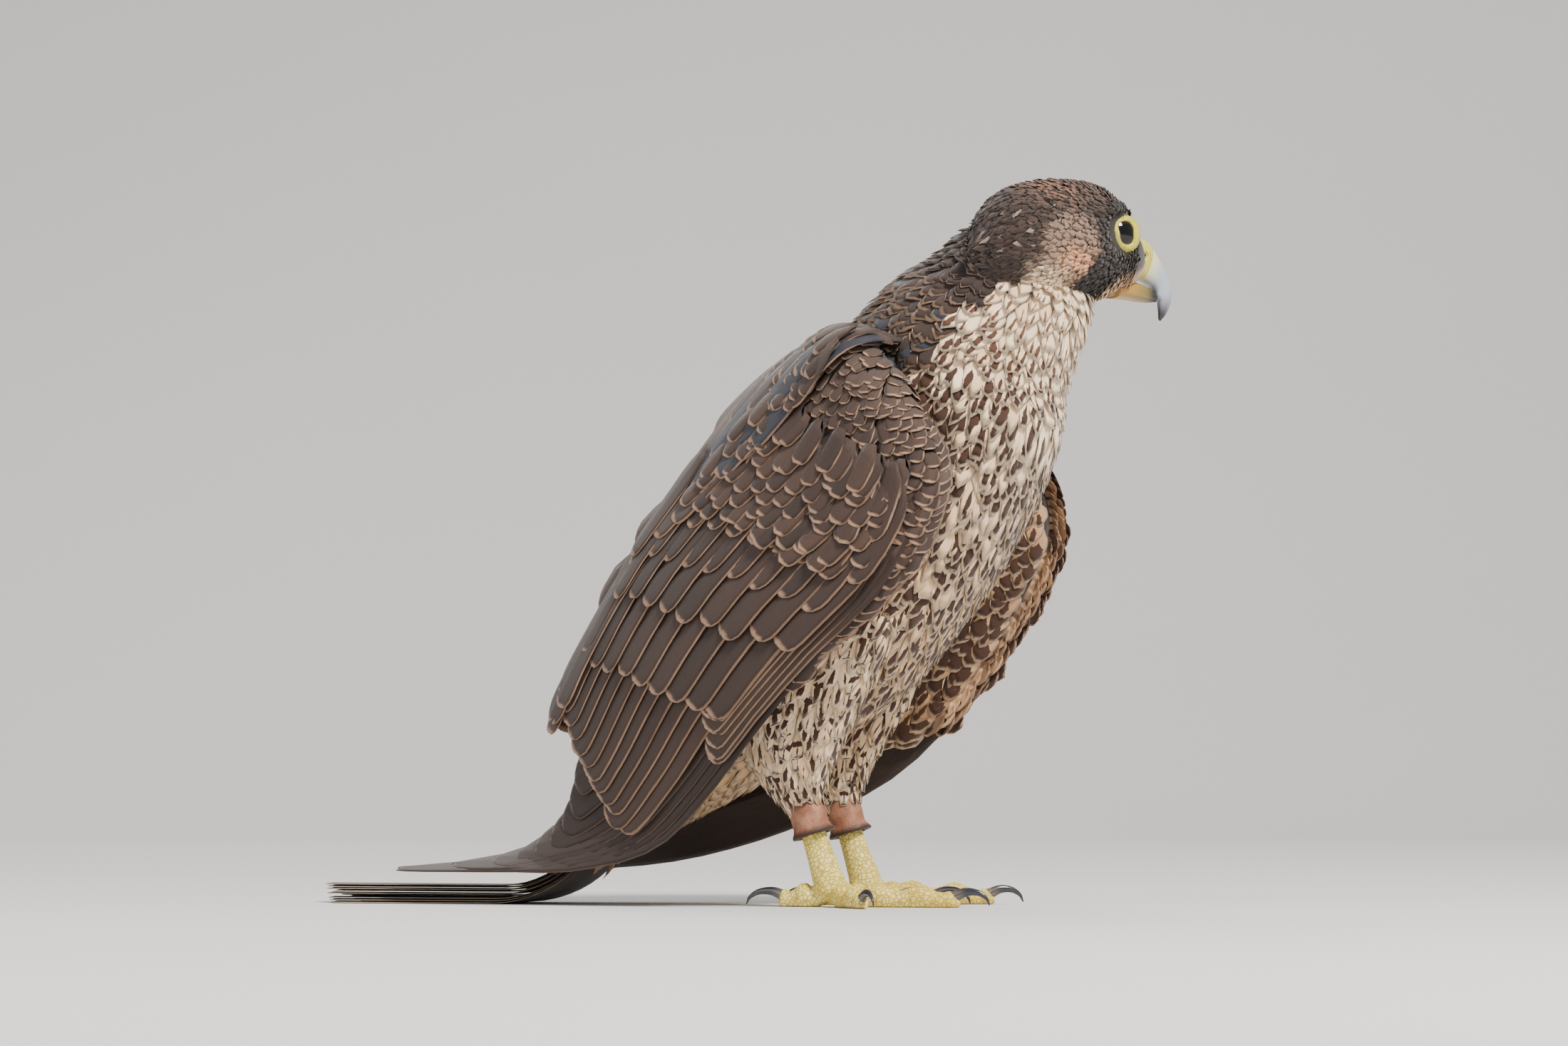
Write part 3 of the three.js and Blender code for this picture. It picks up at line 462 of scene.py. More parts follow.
class Coat:
    """Many feathers as joined closed vanes, split into pieces of no more than MOST triangles."""
    MOST = 180000
    STORED = ("lie", "ground", "mark", "fringe", "shape", "pattern")

    def __init__(self, name, slot):
        self.name, self.slot, self.parts = name, slot, []

    def finish(self, material):
        groups, load = [[]], 0
        for faces, *arrays in self.parts:
            step = max(1, self.MOST // len(faces))
            for start in range(0, len(arrays[0]), step):
                cut = [values[start:start + step] for values in arrays]
                size = len(cut[0]) * len(faces)
                if load + size > self.MOST:
                    groups.append([])
                    load = 0
                groups[-1].append((faces, *cut))
                load += size
        filled = [group for group in groups if group]
        return [self.piece(number + 1, group, material) for number, group in enumerate(filled)]

    def piece(self, number, group, material):
        found = {key: [] for key in ("points", "faces", "uv", *self.STORED)}
        base = 0
        for faces, points, uv, lie, *values in group:
            count, each = points.shape[:2]
            found["points"].append(points.reshape(-1, 3))
            found["faces"].append((faces + (np.arange(count) * each)[:, None, None] + base).reshape(-1, 3))
            found["uv"].append(uv.reshape(-1, 2))
            found["lie"].append(lie.reshape(-1, 3))
            for key, value in zip(self.STORED[1:], values):
                found[key].append(np.repeat(value, each, axis=0))
            base += count * each
        points, faces, uv, *values = (np.vstack(value) for value in found.values())
        stored = dict(zip(self.STORED, values))
        piece = new_object(f"{self.name}_{number}", points, faces, material, uv, stored)
        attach(piece, "root")
        return piece


def vane_faces(rows, columns):
    """Triangles of a thin vane whose upper and lower sides share their border."""
    upper = np.arange(rows * columns).reshape(rows, columns)
    lower = upper.copy()
    lower[1:-1, 1:-1] = rows * columns + np.arange((rows - 2) * (columns - 2)).reshape(rows - 2, columns - 2)
    found = []
    for sheet, turned in ((upper, False), (lower, True)):
        a, b, c, d = sheet[:-1, :-1], sheet[:-1, 1:], sheet[1:, 1:], sheet[1:, :-1]
        for corners in ((a, b, c), (a, c, d)):
            faces = np.stack([corner.ravel() for corner in corners], 1)
            found.append(faces[:, ::-1] if turned else faces)
    return np.vstack(found)


def feathers(coat, surface, path, length, half_width, lift, colours, pattern, rows=5, columns=5, cup=0.12,
             ragged=0.08, thick=0.25, tilt=0.0, rounding=0.4, narrow=0.45, splits=0.0, round_tip=False):
    """Vanes along a path over a surface, each a closed mesh with its own colours.

    path gives two surface numbers for shares of the length. lift is the height over the surface at root and
    tip. colours are ground, mark and fringe; pattern is fringe width, spot width and number of bars. cup
    bends the sides down, tilt lifts one side, ragged and splits make the end uneven and rounding cuts its
    corners.
    """
    count = len(length)
    share = np.broadcast_to(np.linspace(0, 1, rows), (count, rows))
    tip = np.clip(0.8 * half_width / length, 0.05, 0.5)[:, None]
    if round_tip:
        body_rows = np.linspace(0, 1, rows - 4)[:-1] * (1 - tip)
        share = np.concatenate([body_rows, 1 - tip + tip * np.sin(np.linspace(0, math.pi / 2, 5))], 1)
    across = np.linspace(-1, 1, columns)
    reach = 1 - rounding * np.abs(across) ** 2.4
    reach = reach * (1 - ragged * draw.random((count, columns)))
    along = share[:, :, None] * reach[:, None]
    if splits:
        deep = draw.random((count, 1, columns)) < splits
        along = along * (1 - 0.03 * deep * share[:, :, None] ** 4)
    a, b = path(along)
    point, slope_a, slope_b, normal = surface.frame(a, b)
    a_next, b_next = path(along + 0.01)
    run = unit(slope_a * (a_next - a)[..., None] + slope_b * (b_next - b)[..., None])
    over = unit(np.cross(normal, run))
    half = half_width[:, None, None]
    width = half * (narrow + (1 - narrow) * smooth(along, 0, 0.35))
    if round_tip:
        width = width * np.sqrt(1 - 0.96 * np.clip((along - 1 + tip[..., None]) / tip[..., None], 0, 1) ** 2)
    else:
        width = width * (1 - 0.35 * smooth(along, 0.75, 1.0))
    y = across * width
    low, high = (np.broadcast_to(v, count)[:, None, None] for v in lift)
    lifted = low * (1 - along) + high * along - cup * half * across**2 - tilt * y
    middle = point + over * y[..., None] + normal * lifted[..., None]
    shaft = 0.6 * thick * hill((across, 0, 0.12))[:, None]
    top = middle + normal * (thick / 2 + shaft)
    under = middle - normal * (thick / 2)
    top[:, [0, -1]] = middle[:, [0, -1]]
    top[:, :, [0, -1]] = middle[:, :, [0, -1]]
    lie = np.stack([along / reach[:, None], across + 0 * along, draw.random((count, 1, 1)) + 0 * along], -1)
    points, lie = (np.concatenate([upper.reshape(count, -1, 3), lower[:, 1:-1, 1:-1].reshape(count, -1, 3)],
                                  axis=1) for upper, lower in ((top, under), (lie, lie)))
    root = surface.unwrap(a[:, 0, columns // 2], b[:, 0, columns // 2])
    uv = root[:, None] + HALF_PATCH * np.stack([lie[..., 1], 2 * lie[..., 0] - 1], -1)
    faces = vane_faces(rows, columns)
    if np.dot(np.cross(over[0, 1, 1], run[0, 1, 1]), normal[0, 1, 1]) < 0:
        faces = faces[:, ::-1]
    values = [np.broadcast_to(linear(c), (count, 3)) for c in colours]
    values.append(np.repeat((length / half_width)[:, None], 3, 1))
    values.append(np.stack([np.broadcast_to(v, count) for v in pattern], -1))
    coat.parts.append((faces, points, uv, lie, *values))


def straight(surface, a, b, length, angle):
    """A path straight over the surface. Angle 0 runs the way the first number grows."""
    _, along, over, _ = surface.frame(a, b)
    step_a = (np.cos(angle) * length / np.linalg.norm(along, axis=-1))[:, None, None]
    step_b = (np.sin(angle) * length / np.linalg.norm(over, axis=-1))[:, None, None]
    return lambda share: (a[:, None, None] + step_a * share, b[:, None, None] + step_b * share)


def curved(root, middle, tip):
    """A path through three places for each feather."""
    def path(share):
        back = 1 - share
        return tuple(back**2 * root[:, k, None, None] + 2 * back * share * middle[:, k, None, None]
                     + share**2 * tip[:, k, None, None] for k in range(2))
    return path


def nearly(value, count, part=0.12):
    return value * (1 + draw.uniform(-part, part, count))


def lay(coat, surface, places, length, half_width, lift, colours, pattern, angle=None, sway=0.12,
        vary=(0.12, 0.12), **form):
    """Feathers straight over a surface, of varied length and width. Gives the points where they root."""
    a, b = places
    count = len(a)
    reach = nearly(length, count, vary[0]) if vary[0] else length
    if angle is None:
        angle = draw.normal(0, sway, count)
    path = straight(surface, a, b, reach, angle)
    feathers(coat, surface, path, np.broadcast_to(length, count), nearly(half_width, count, vary[1]), lift,
             colours, pattern, **form)
    return surface.place(a, b)


def dark_colours(count, blue=0.12):
    """Ground and edge of the back's feathers, some of them new and blue-black."""
    ground = blend(DARK, BROWN, draw.random(count) * 0.5)
    ground[draw.random(count) < blue] = BLUE_BLACK
    return ground, blend(FRINGE, BUFF, draw.random(count) * 0.4)


def dress_trunk(coat):
    """Dark feathers on the back, pale ones with brown drops on breast and belly, bars on the flanks."""
    a, b = trunk.spread((0.01, 0.995), (0, TURN), (4.2, 4.7))
    front, side = np.sin(b), np.abs(np.cos(b))
    count = len(a)
    neck_dark = smooth(a, 0.78, 0.9) * smooth(-front, -0.45, 0.1)
    pale = smooth(front, -0.2, 0.12) * (1 - neck_dark) > draw.random(count) * 0.7 + 0.15
    length = np.interp(a, [0, 0.25, 0.6, 0.8, 1], [20, 22, 19, 12, 7])
    half = np.interp(a, [0, 0.25, 0.6, 0.8, 1], [4.6, 5.0, 4.8, 3.6, 2.6]) * np.where(front > 0, 1, 1.25)
    ground = blend(CREAM, BUFF, smooth(0.95 - a, 0.15, 0.7) * nearly(0.9, count, 0.3).clip(0, 1))
    ground = blend(ground, OCHRE, smooth(0.24 - a, 0, 0.1))
    back, back_edge = dark_colours(count)
    back = np.where((a > 0.8)[:, None], blend(DARK, BROWN, draw.random(count) * 0.3), back)
    buff = 0.55 * draw.random(count) * smooth(side, 0.2, 0.8)
    ground = np.where(pale[:, None], blend(ground, BUFF, buff), back)
    edge = np.where(pale[:, None], blend(ground, WHITE, 0.3), back_edge)
    wide = np.interp(a, [0, 0.2, 0.34, 0.62, 0.8, 0.92, 1], [0, 0, 0.42, 0.42, 0.26, 0.12, 0.08])
    wide = wide * (1 + 0.35 * smooth(side, 0.5, 0.95) * smooth(a, 0.9, 0.6))
    spot = wide * draw.uniform(0.55, 1.25, count) * (draw.random(count) < 0.8)
    barred = (a < 0.5) & (side > 0.45) & (a > 0.2) & (draw.random(count) < 0.6)
    fringe = np.where(pale, 0.12, np.where(a > 0.8, 0.05, 0.17))
    angle = math.pi + draw.normal(0, 0.16, count)
    lift = (-3.4, nearly(-0.1, count) + draw.uniform(0, 1.2, count) * np.minimum(length / 18, 1))
    mark = blend(SPOT, PALE_SPOT, smooth(a, 0.66, 0.9))
    pattern = (fringe, spot * pale, 2.2 * (barred & pale))
    return lay(coat, trunk, (a, b), length, half, lift, (ground, mark, edge), pattern, angle,
               ragged=0.2, cup=0.2, rounding=0.42), ground


def head_colours(points):
    """Dark crown and nape with a rusty patch, brown cheek, pale throat and neck, dark moustache."""
    forward, side, up = head_local(points)
    seen = 0.866 * forward + 0.5 * np.abs(side)
    chance = draw.random(len(points))
    colour = blend((0.165, 0.12, 0.10), (0.27, 0.20, 0.165), chance)
    colour = blend(colour, (0.37, 0.29, 0.25), smooth(up, 12, 20) * smooth(forward, -16, 14) * 0.8)
    rust = hill((forward, -8, 12), (up, 21, 7))
    colour = blend(colour, RUST, np.clip(rust * 1.3, 0, 1) * (chance > 0.25))
    cheek = smooth(14 - np.hypot((seen - 6) / 0.95, (up + 3) / 1.15), 0, 4) * smooth(np.abs(side), 6, 12)
    colour = blend(colour, (0.55, 0.445, 0.375), cheek * 0.9)
    glow = hill((seen, 7.5, 7), (up, -10.5, 6))
    colour = blend(colour, (0.87, 0.63, 0.46), np.clip(glow * 1.25, 0, 1))
    neck = hill((seen, -4, 8.5), (up, -20, 9.5))
    colour = blend(colour, (0.96, 0.84, 0.69), np.clip(neck * 1.7 - 0.2, 0, 1))
    throat = smooth(-up, 11, 16) * smooth(forward, 2, 9) * smooth(22 - np.abs(side), 2, 9)
    colour = blend(colour, (0.95, 0.80, 0.64), throat)
    moustache_middle = 22 - 14.5 * np.clip((-8 - up) / 18, 0, 1)
    moustache = smooth(7.2 - np.abs(seen - moustache_middle), 0, 2.2) * smooth(-up, 4, 9)
    colour = blend(colour, FACE_DARK, moustache * smooth(30 + up, 0, 4) * smooth(np.abs(side), 5, 9))
    eye_rim = smooth(np.hypot(forward - 17, up - 3), 14.5, 11.5) * smooth(np.abs(side), 8, 12)
    colour = blend(colour, FACE_DARK, eye_rim * (up > -8))
    colour[(chance > 0.95) & (forward < -4) & (up < 15) & (up > -18)] = (0.56, 0.48, 0.43)
    return colour


def dress_head(coat):
    """Short fine feathers, left out round the eyes and over the bill."""
    a, b = skull.spread((0.0, 0.93), (0, TURN), (1.55, 1.75), 0.45)
    forward, side, up = head_local(skull_place(a, b))
    keep = (np.hypot(forward - 17.2, (up - 3) * 1.02) > np.where(forward > 17, 9.2, 8.4)) | (np.abs(side) < 9)
    keep &= ~((forward > 27.5) & (up > -16))
    keep &= ~((forward > 31) | ((forward > 24) & (up < -9) & (np.abs(side) < 8.5) & (up > -17)))
    a, b, forward = a[keep], b[keep], forward[keep]
    count = len(a)
    colour = head_colours(skull_place(a, b))
    length = np.interp(forward, [-41, -30, -15, 10, 30], [12, 8, 6.2, 4.4, 2.6])
    half = np.interp(forward, [-40, -15, 10, 30], [1.9, 1.6, 1.25, 0.8])
    angle = math.pi + draw.normal(0, 0.2, count)
    lift = (-1.2, draw.uniform(0.1, 0.8, count))
    colours = (colour, colour * 0.6, blend(colour, CREAM, 0.12))
    return lay(coat, skull, (a, b), length, half, lift, colours, (0.12, 0, 0), angle, vary=(0.2, 0.25),
               rows=4, columns=3, ragged=0.3, thick=0.16, cup=0.3), colour


def dress_thigh(coat, name):
    surface = thighs[name]
    a, b = surface.spread((0.02, 0.96), (0, TURN), (4.4, 5.0))
    count = len(a)
    length = np.interp(a, [0, 0.6, 1], [16, 20, 15])
    half = np.interp(a, [0, 0.6, 1], [4.2, 3.8, 2.4])
    ground = blend(CREAM, BUFF, draw.uniform(0.1, 0.75, count))
    spot = np.where(draw.random(count) < 0.5, 0.32, 0.1)
    bars = 2.3 * (draw.random(count) < 0.35)
    angle = draw.normal(0, 0.16, count)
    lift = (-2.8, draw.uniform(-0.4, 1.4, count))
    return lay(coat, surface, (a, b), length, half, lift, (ground, SPOT, blend(ground, WHITE, 0.35)),
               (0.1, spot, bars), angle, ragged=0.3, cup=0.25, rounding=0.5), ground


def tier_look(kind, count, k):
    """Ground, edge and fringe width of a tier's feathers. k runs from its first feather to its last."""
    ground = blend(DARK, BROWN, 0.25 + 0.3 * draw.random(count))
    edge = FRINGE
    fringe = {"primary": 0.05, "secondary": 0.075, "tertial": 0.09}.get(kind, 0.10)
    if kind == "primary":
        ground = blend(DARK, (0.21, 0.165, 0.145), draw.random(count))
        edge = (0.42, 0.33, 0.27)
    if "scapular" in kind:
        ground = blend(DARK, BROWN, 0.3 + 0.7 * draw.random(count))
        ground[(draw.random(count) < 0.55) & (k < 0.55)] = BLUE_BLACK
        fringe = 0.12
    if "median" in kind:
        ground = blend(DARK, BROWN, 0.15 + 0.4 * draw.random(count))
    return ground, edge, fringe


def dress_tiers(coat, surface, side):
    """The large feathers of a wing, one tier over the other."""
    for kind, (count, half, height, rise, *places) in WING_TIERS.items():
        k = np.linspace(0, 1, count)
        root, middle, tip = (blend(first, last, k) for first, last in places)
        if kind != "primary":
            tip = tip + draw.normal(0, 0.03, tip.shape) * (1, 0.15)
        rows, columns = (26, 9) if kind in ("primary", "secondary", "tertial") else (12, 7)
        fall = 0.66 * k**1.5 if "scapular" in kind or kind == "tertial" else 0
        base = height * (1 - fall) + rise * np.arange(count)
        length = np.linalg.norm(surface.place(*tip.T) - surface.place(*root.T), axis=-1)
        ground, edge, fringe = tier_look(kind, count, k)
        lift = (base * (0.4 if kind == "scapular_1" else 1), base + 0.4)
        feathers(coat, surface, curved(root, middle, tip), length, np.full(count, float(half)), lift,
                 (ground, DARK, edge), (fringe, 0, 0), rows=rows, columns=columns, thick=0.4, cup=0.07,
                 tilt=side * 0.16, rounding=0.0, ragged=0.006, narrow=0.5, splits=0.03, round_tip=True)


def dress_edge(coat, surface):
    """Three rows of feathers wrapped round the wing's leading edge."""
    for row in range(3):
        a = np.arange(0.25, 5.2, 0.13) + 0.05 * row
        count = len(a)
        b = np.full(count, 0.012 + 0.012 * row)
        low, high = (BUFF, BROWN) if row else (DARK, GREY_BROWN)
        ground = blend(low, high, draw.random(count) * (1 if row else 0.7))
        lift = (0.5 - 2.2 * row, 1.6 - 2.2 * row + draw.uniform(-0.4, 0.4, count))
        lay(coat, surface, (a, b), np.interp(a, [0, 2, 5], [9, 11, 15]), 4.6, lift, (ground, DARK, FRINGE),
            (0.13, 0.5 * (row > 0), 0), sway=0.16, vary=(0, 0.12), rows=9, columns=7, cup=0.5, round_tip=True)


def dress_scales(coat, surface, side):
    """Scale-like feathers of the shoulder and of the arm, over the roots of the longer ones."""
    for a_range, b_range, spacing, size, half, height, fall in (
            ((-0.35, 1.9), (0.6, 1.0), (5.2, 6.0), 12.0, 4.8, 13.6, 0.66),
            ((1.9, 3.7), (0.1, 0.8), (7.4, 7.4), 17.5, 6.0, 12.6, 0.0)):
        a, b = surface.spread(a_range, b_range, spacing)
        count = len(a)
        level = height * (1 - fall * np.clip((b - 0.6) / 0.4, 0, 1) ** 1.5) - 2.5 * smooth(0.22 - b, 0, 0.14)
        level = level * (1 - 0.6 * smooth(0.9 - a, 0, 1.2))
        ground = blend(DARK, BROWN, 0.15 + 0.65 * draw.random(count))
        length = nearly(size, count)
        feathers(coat, surface, straight(surface, a, b, length, draw.normal(0, 0.12, count)), length,
                 nearly(half, count), (level - 1.6, level + draw.uniform(0.3, 1.1, count)),
                 (ground, DARK, FRINGE), (0.13, 0, 0), rows=8, cup=0.14, ragged=0.02, rounding=0.05,
                 tilt=side * 0.1, round_tip=True)


def dress_arm(coat, arm, side):
    """Small coverts of the arm, finer towards its leading edge."""
    a, b = arm.spread((0.3, 3.9), (0.015, 0.985), (4.6, 4.4))
    keep = (b < 0.74 + 0.1 * draw.random(len(b))) | (a < 1.0)
    a, b = a[keep], b[keep]
    count = len(a)
    length = np.interp(a, [0, 1.2, 3.9], [8.5, 10, 15]) * np.interp(b, [0, 0.2, 1], [0.7, 1, 1.05])
    hairy = smooth(b, 0.42, 0.62) * smooth(2.6 - a, 0, 0.8)
    half = np.interp(a, [0, 1.2, 3.9], [3.1, 3.6, 5.6]) * (1 - 0.35 * hairy)
    ground = blend(DARK, BROWN, 0.2 + 0.5 * draw.random(count))
    ground = blend(ground, GREY_BROWN, 0.75 * np.maximum(hairy, smooth(1.6 - a, 0, 0.9) * 0.6))
    fringe = 0.13 + 0.03 * draw.random(count)
    angle = draw.normal(0, 0.12, count) - 0.15 * smooth(b, 0.5, 1)
    lift = (-1.4, draw.uniform(0.3, 1.1, count))
    return lay(coat, arm, (a, b), length, half, lift, (ground, DARK, FRINGE), (fringe, 0, 0), angle, rows=7,
               cup=0.16, ragged=0.03, rounding=0.05, tilt=side * 0.08, round_tip=True), ground


def dress_wing(coat, name):
    surface, side = wings[name], SIDES[name]
    dress_tiers(coat, surface, side)
    dress_edge(coat, surface)
    dress_scales(coat, surface, side)
    return dress_arm(coat, arms[name], side)


def dress_lining(coat, name):
    """The underside of the wing: buff coverts mottled dark, longer towards the quills."""
    a, b = linings[name].spread((0.3, 5.6), (0.05, 0.97), (5.4, 5.4))
    count = len(a)
    length = np.interp(a, [0, 2, 5.6], [10, 13, 19])
    half = np.interp(a, [0, 2, 5.6], [4.0, 4.6, 5.4])
    ground = blend((0.80, 0.65, 0.49), (0.66, 0.49, 0.35), draw.random(count))
    spot = np.where(draw.random(count) < 0.7, 0.72, 0.3)
    bars = 2.0 * (draw.random(count) < 0.35)
    angle = draw.normal(0, 0.2, count) * smooth(b, 0.05, 0.2)
    lift = (-1.4, draw.uniform(-0.2, 0.7, count))
    lay(coat, linings[name], (a, b), length, half, lift, (ground, SPOT, blend(ground, CREAM, 0.5)),
        (0.1, spot, bars), angle, cup=0.15, ragged=0.1)


def dress_tail(coat):
    """Twelve feathers, the middle ones above, and dark coverts over their roots."""
    pairs = TAIL["pairs"]
    ground = blend(DARK, BROWN, 0.35)[None]
    for pair in range(pairs):
        for side in (-1, 1):
            crossing = max(0, 3 - pair)
            level = pairs - 1 - pair + crossing - (side > 0 and crossing > 0)
            place = side * (pair + 0.5) / pairs
            reach = TAIL["length"] * (1 - 0.01 * pair)

            def path(share):
                spread = TAIL["root_spread"] + (TAIL["tip_spread"] - TAIL["root_spread"]) * share
                return share * reach, place * spread
            lift = level * TAIL["stack"] + 0.4
            feathers(coat, tail_face, path, np.array([reach]), np.array([TAIL["half_width"]]), (lift, lift),
                     (ground, BUFF, CREAM), (0.07, 0, 0), rows=34, columns=9, thick=0.45, cup=0.0,
                     rounding=0.0, ragged=0.01, splits=0.15, round_tip=True)
    a, b = tail_root.spread((-8, 44), (-13, 13), (6, 5))
    ground, edge = dark_colours(len(a), 0.1)
    dome = 8.5 * np.sqrt(np.maximum(1 - (b / 17) ** 2, 0)) * np.sqrt(np.clip((50 - a) / 50, 0, 1))
    lift = (3 + dome - 1, 3 + dome * 0.75 + draw.uniform(0, 0.8, len(a)))
    lay(coat, tail_root, (a, b), 24.0, 6.5, lift, (ground, DARK, edge), (0.15, 0, 0), rows=7, cup=0.15,
        ragged=0.1)


def under_place(a, b):
    depth = 4.5 * np.sqrt(np.clip(1 - (b / 17) ** 2, 0, 1))
    return tail_place(a, b) - tail_face.frame(a, b)[3] * depth[..., None]


def dress_vent(coat):
    """Long soft ochre feathers under the root of the tail."""
    surface = Surface(under_place, (30.0, 0.0), (-95, 0, 400), ((-30, 60), (-20, 20)))
    a, b = surface.spread((-20, 34), (-15, 15), (4.6, 4.4))
    length = 26.0 * np.interp(a, [-20, 34], [1.1, 0.8])
    ground = blend(OCHRE, CREAM, draw.uniform(0, 0.5, len(a)))
    lift = (-1.5, draw.uniform(0.0, 1.6, len(a)))
    colours = (ground, blend(OCHRE, SPOT, 0.4), blend(ground, WHITE, 0.3))
    lay(coat, surface, (a, b), length, 4.6, lift, colours, (0.1, 0.12, 0), sway=0.2, rows=6, cup=0.25,
        ragged=0.35, rounding=0.5)


# Materials
class Flow:
    """A value that runs between shader nodes. Sums, differences and products of it add math nodes."""
    def __init__(self, look, socket):
        self.look, self.socket = look, socket

    def __add__(self, other):
        return self.look.math("ADD", self, other)

    def __sub__(self, other):
        return self.look.math("SUBTRACT", self, other)

    def __rsub__(self, other):
        return self.look.math("SUBTRACT", other, self)

    def __mul__(self, other):
        return self.look.math("MULTIPLY", self, other)

    def __abs__(self):
        return self.look.math("ABSOLUTE", self)


class Look:
    """A material whose nodes are added one by one."""
    SKIN_DEPTH = 0.002
    COAT_ROUGHNESS = 0.08

    def __init__(self, name, roughness, sheen=0.0, coat=0.0, subsurface=0.0, specular=0.5):
        self.material = bpy.data.materials.new(name)
        self.material.use_nodes = True
        self.tree = self.material.node_tree
        self.shader = self.tree.nodes["Principled BSDF"]
        for socket, value in (("Roughness", roughness), ("Sheen Weight", sheen), ("Coat Weight", coat),
                              ("Subsurface Weight", subsurface), ("Specular IOR Level", specular),
                              ("Subsurface Scale", self.SKIN_DEPTH), ("Coat Roughness", self.COAT_ROUGHNESS)):
            self.shader.inputs[socket].default_value = value

    def put(self, target, value):
        if isinstance(value, Flow):
            self.tree.links.new(value.socket, target)
        elif isinstance(value, tuple):
            target.default_value = (*value, 1)
        else:
            target.default_value = value

    def flow(self, kind, output, inputs=(), **settings):
        """An output of a new node, given its inputs by name or number, and its settings."""
        node = self.tree.nodes.new("ShaderNode" + kind)
        for key, value in settings.items():
            setattr(node, key, value)
        for key, value in dict(inputs).items():
            self.put(node.inputs[key], value)
        return Flow(self, node.outputs[output])

    def math(self, operation, *values):
        return self.flow("Math", 0, enumerate(values), operation=operation)

    def ramp(self, value, low, high):
        inputs = {"Value": value, "From Min": low, "From Max": high}
        return self.flow("MapRange", "Result", inputs, interpolation_type="SMOOTHSTEP")

    def mix(self, share, first, second, kind="MIX"):
        return self.flow("Mix", 2, {0: share, 6: first, 7: second}, data_type="RGBA", blend_type=kind)

    def shaded(self, colour, shade):
        return self.mix(1.0, colour, self.join((shade, shade, shade)), "MULTIPLY")

    def colour(self, name):
        """The colour stored on the mesh under a name."""
        return self.flow("Attribute", "Color", attribute_name=name)

    def parts(self, name):
        """The three numbers stored on the mesh under a name."""
        first = self.flow("SeparateXYZ", 0, {0: self.flow("Attribute", "Vector", attribute_name=name)})
        return [Flow(self, socket) for socket in first.socket.node.outputs]

    def join(self, values):
        return self.flow("CombineXYZ", 0, enumerate(values))

    def position(self):
        return self.flow("TexCoord", "Object")

    def noise(self, vector, scale, detail=3.0):
        vector = self.join(vector) if isinstance(vector, tuple) else vector
        inputs = {"Vector": vector, "Scale": scale, "Detail": detail, "Roughness": 0.55}
        return self.flow("TexNoise", "Fac", inputs)

    def cells(self, vector, scale):
        inputs = {"Vector": vector, "Scale": scale}
        return self.flow("TexVoronoi", "Distance", inputs, feature="DISTANCE_TO_EDGE")

    def finish(self, colour, height=None, distance=0.0003, strength=0.5):
        self.put(self.shader.inputs["Base Color"], colour)
        if height is not None:
            bump = self.flow("Bump", 0, {"Distance": distance, "Strength": strength, "Height": height})
            self.put(self.shader.inputs["Normal"], bump)
        return self.material


def screen(*colour):
    """A colour as a screen shows it, made linear for a shader."""
    return tuple(float(v) for v in linear(colour))


def plumage(name, roughness, sheen):
    """Feather colour from each vane's own values: spots, bars, fringe and barbs."""
    look = Look(name, roughness, sheen, specular=0.3)
    along, across, chance = look.parts("lie")
    fringe, spot, bars = look.parts("pattern")
    aside = abs(across)
    wander = look.noise((across * 2.5, along * 5.0, chance * 60.0), 1.0) - 0.5
    drop = look.ramp(spot * look.ramp(along, 0.3, 0.72) - (aside + wander * 0.5), 0.0, 0.08)
    drop = drop * (1.0 - look.ramp(along, 0.88, 0.95)) * look.ramp(spot, 0.02, 0.06)
    wave = look.math("SINE", along * (bars * 6.283) + (aside + wander) * -1.6)
    band = look.ramp(wave, 0.25, 0.5) * look.ramp(bars, 0.5, 1.0)
    marked = look.mix(look.math("MAXIMUM", drop, band), look.colour("ground"), look.colour("mark"))
    from_tip = (1.0 - along) * (look.parts("shape")[0] * 0.62)
    near = look.math("MAXIMUM", aside, 1.0 - from_tip) + wander * 0.12
    rim = look.ramp(near - (1.0 - fringe), -0.06, 0.05) * look.ramp(along, 0.25, 0.6)
    marked = look.mix(rim, marked, look.colour("fringe"))
    barbs = look.noise((along * 34.0 + aside * -11.0, across * 1.5, chance * 90.0), 2.2, 2.0)
    shade = barbs * 0.5 + (chance * 0.16 + 0.66)
    return look.finish(look.shaded(marked, shade), barbs, 0.0004, 0.55)


def bare_skin(name, base, deep, scale, roughness=0.5):
    look = Look(name, roughness, subsurface=0.12, specular=0.45)
    place = look.position()
    cells = look.ramp(look.cells(place, scale), 0.0, 0.14)
    colour = look.mix(look.ramp(look.noise(place, 90.0), 0.35, 0.7), base, deep)
    colour = look.mix(cells, tuple(v * 0.62 for v in deep), colour)
    return look.finish(colour, cells + look.noise(place, 1400.0) * 0.25, 0.00035, 0.6)


def skin_look():
    look = Look("skin_down", 0.9, 0.2)
    fluff = look.noise(look.position(), 900.0, 4.0)
    return look.finish(look.shaded(look.colour("ground"), fluff * 0.5 + 0.45), fluff, 0.0006, 0.7)


def horn_look():
    """Pale blue-grey horn that darkens to its tip, yellower near the cere."""
    look = Look("bill_horn", 0.28, coat=0.25, subsurface=0.05)
    along, turn, _ = look.parts("place")
    streaks = look.noise((along * 3.0, turn * 22.0, 0.0), 1.0)
    wobble = along + (streaks - 0.5) * 0.22
    colour = look.mix(look.ramp(wobble, 0.0, 0.28), screen(0.86, 0.83, 0.66), screen(0.66, 0.69, 0.74))
    colour = look.mix(look.ramp(wobble, 0.48, 0.92), colour, screen(0.13, 0.125, 0.14))
    return look.finish(colour, streaks, 0.0001, 0.25)


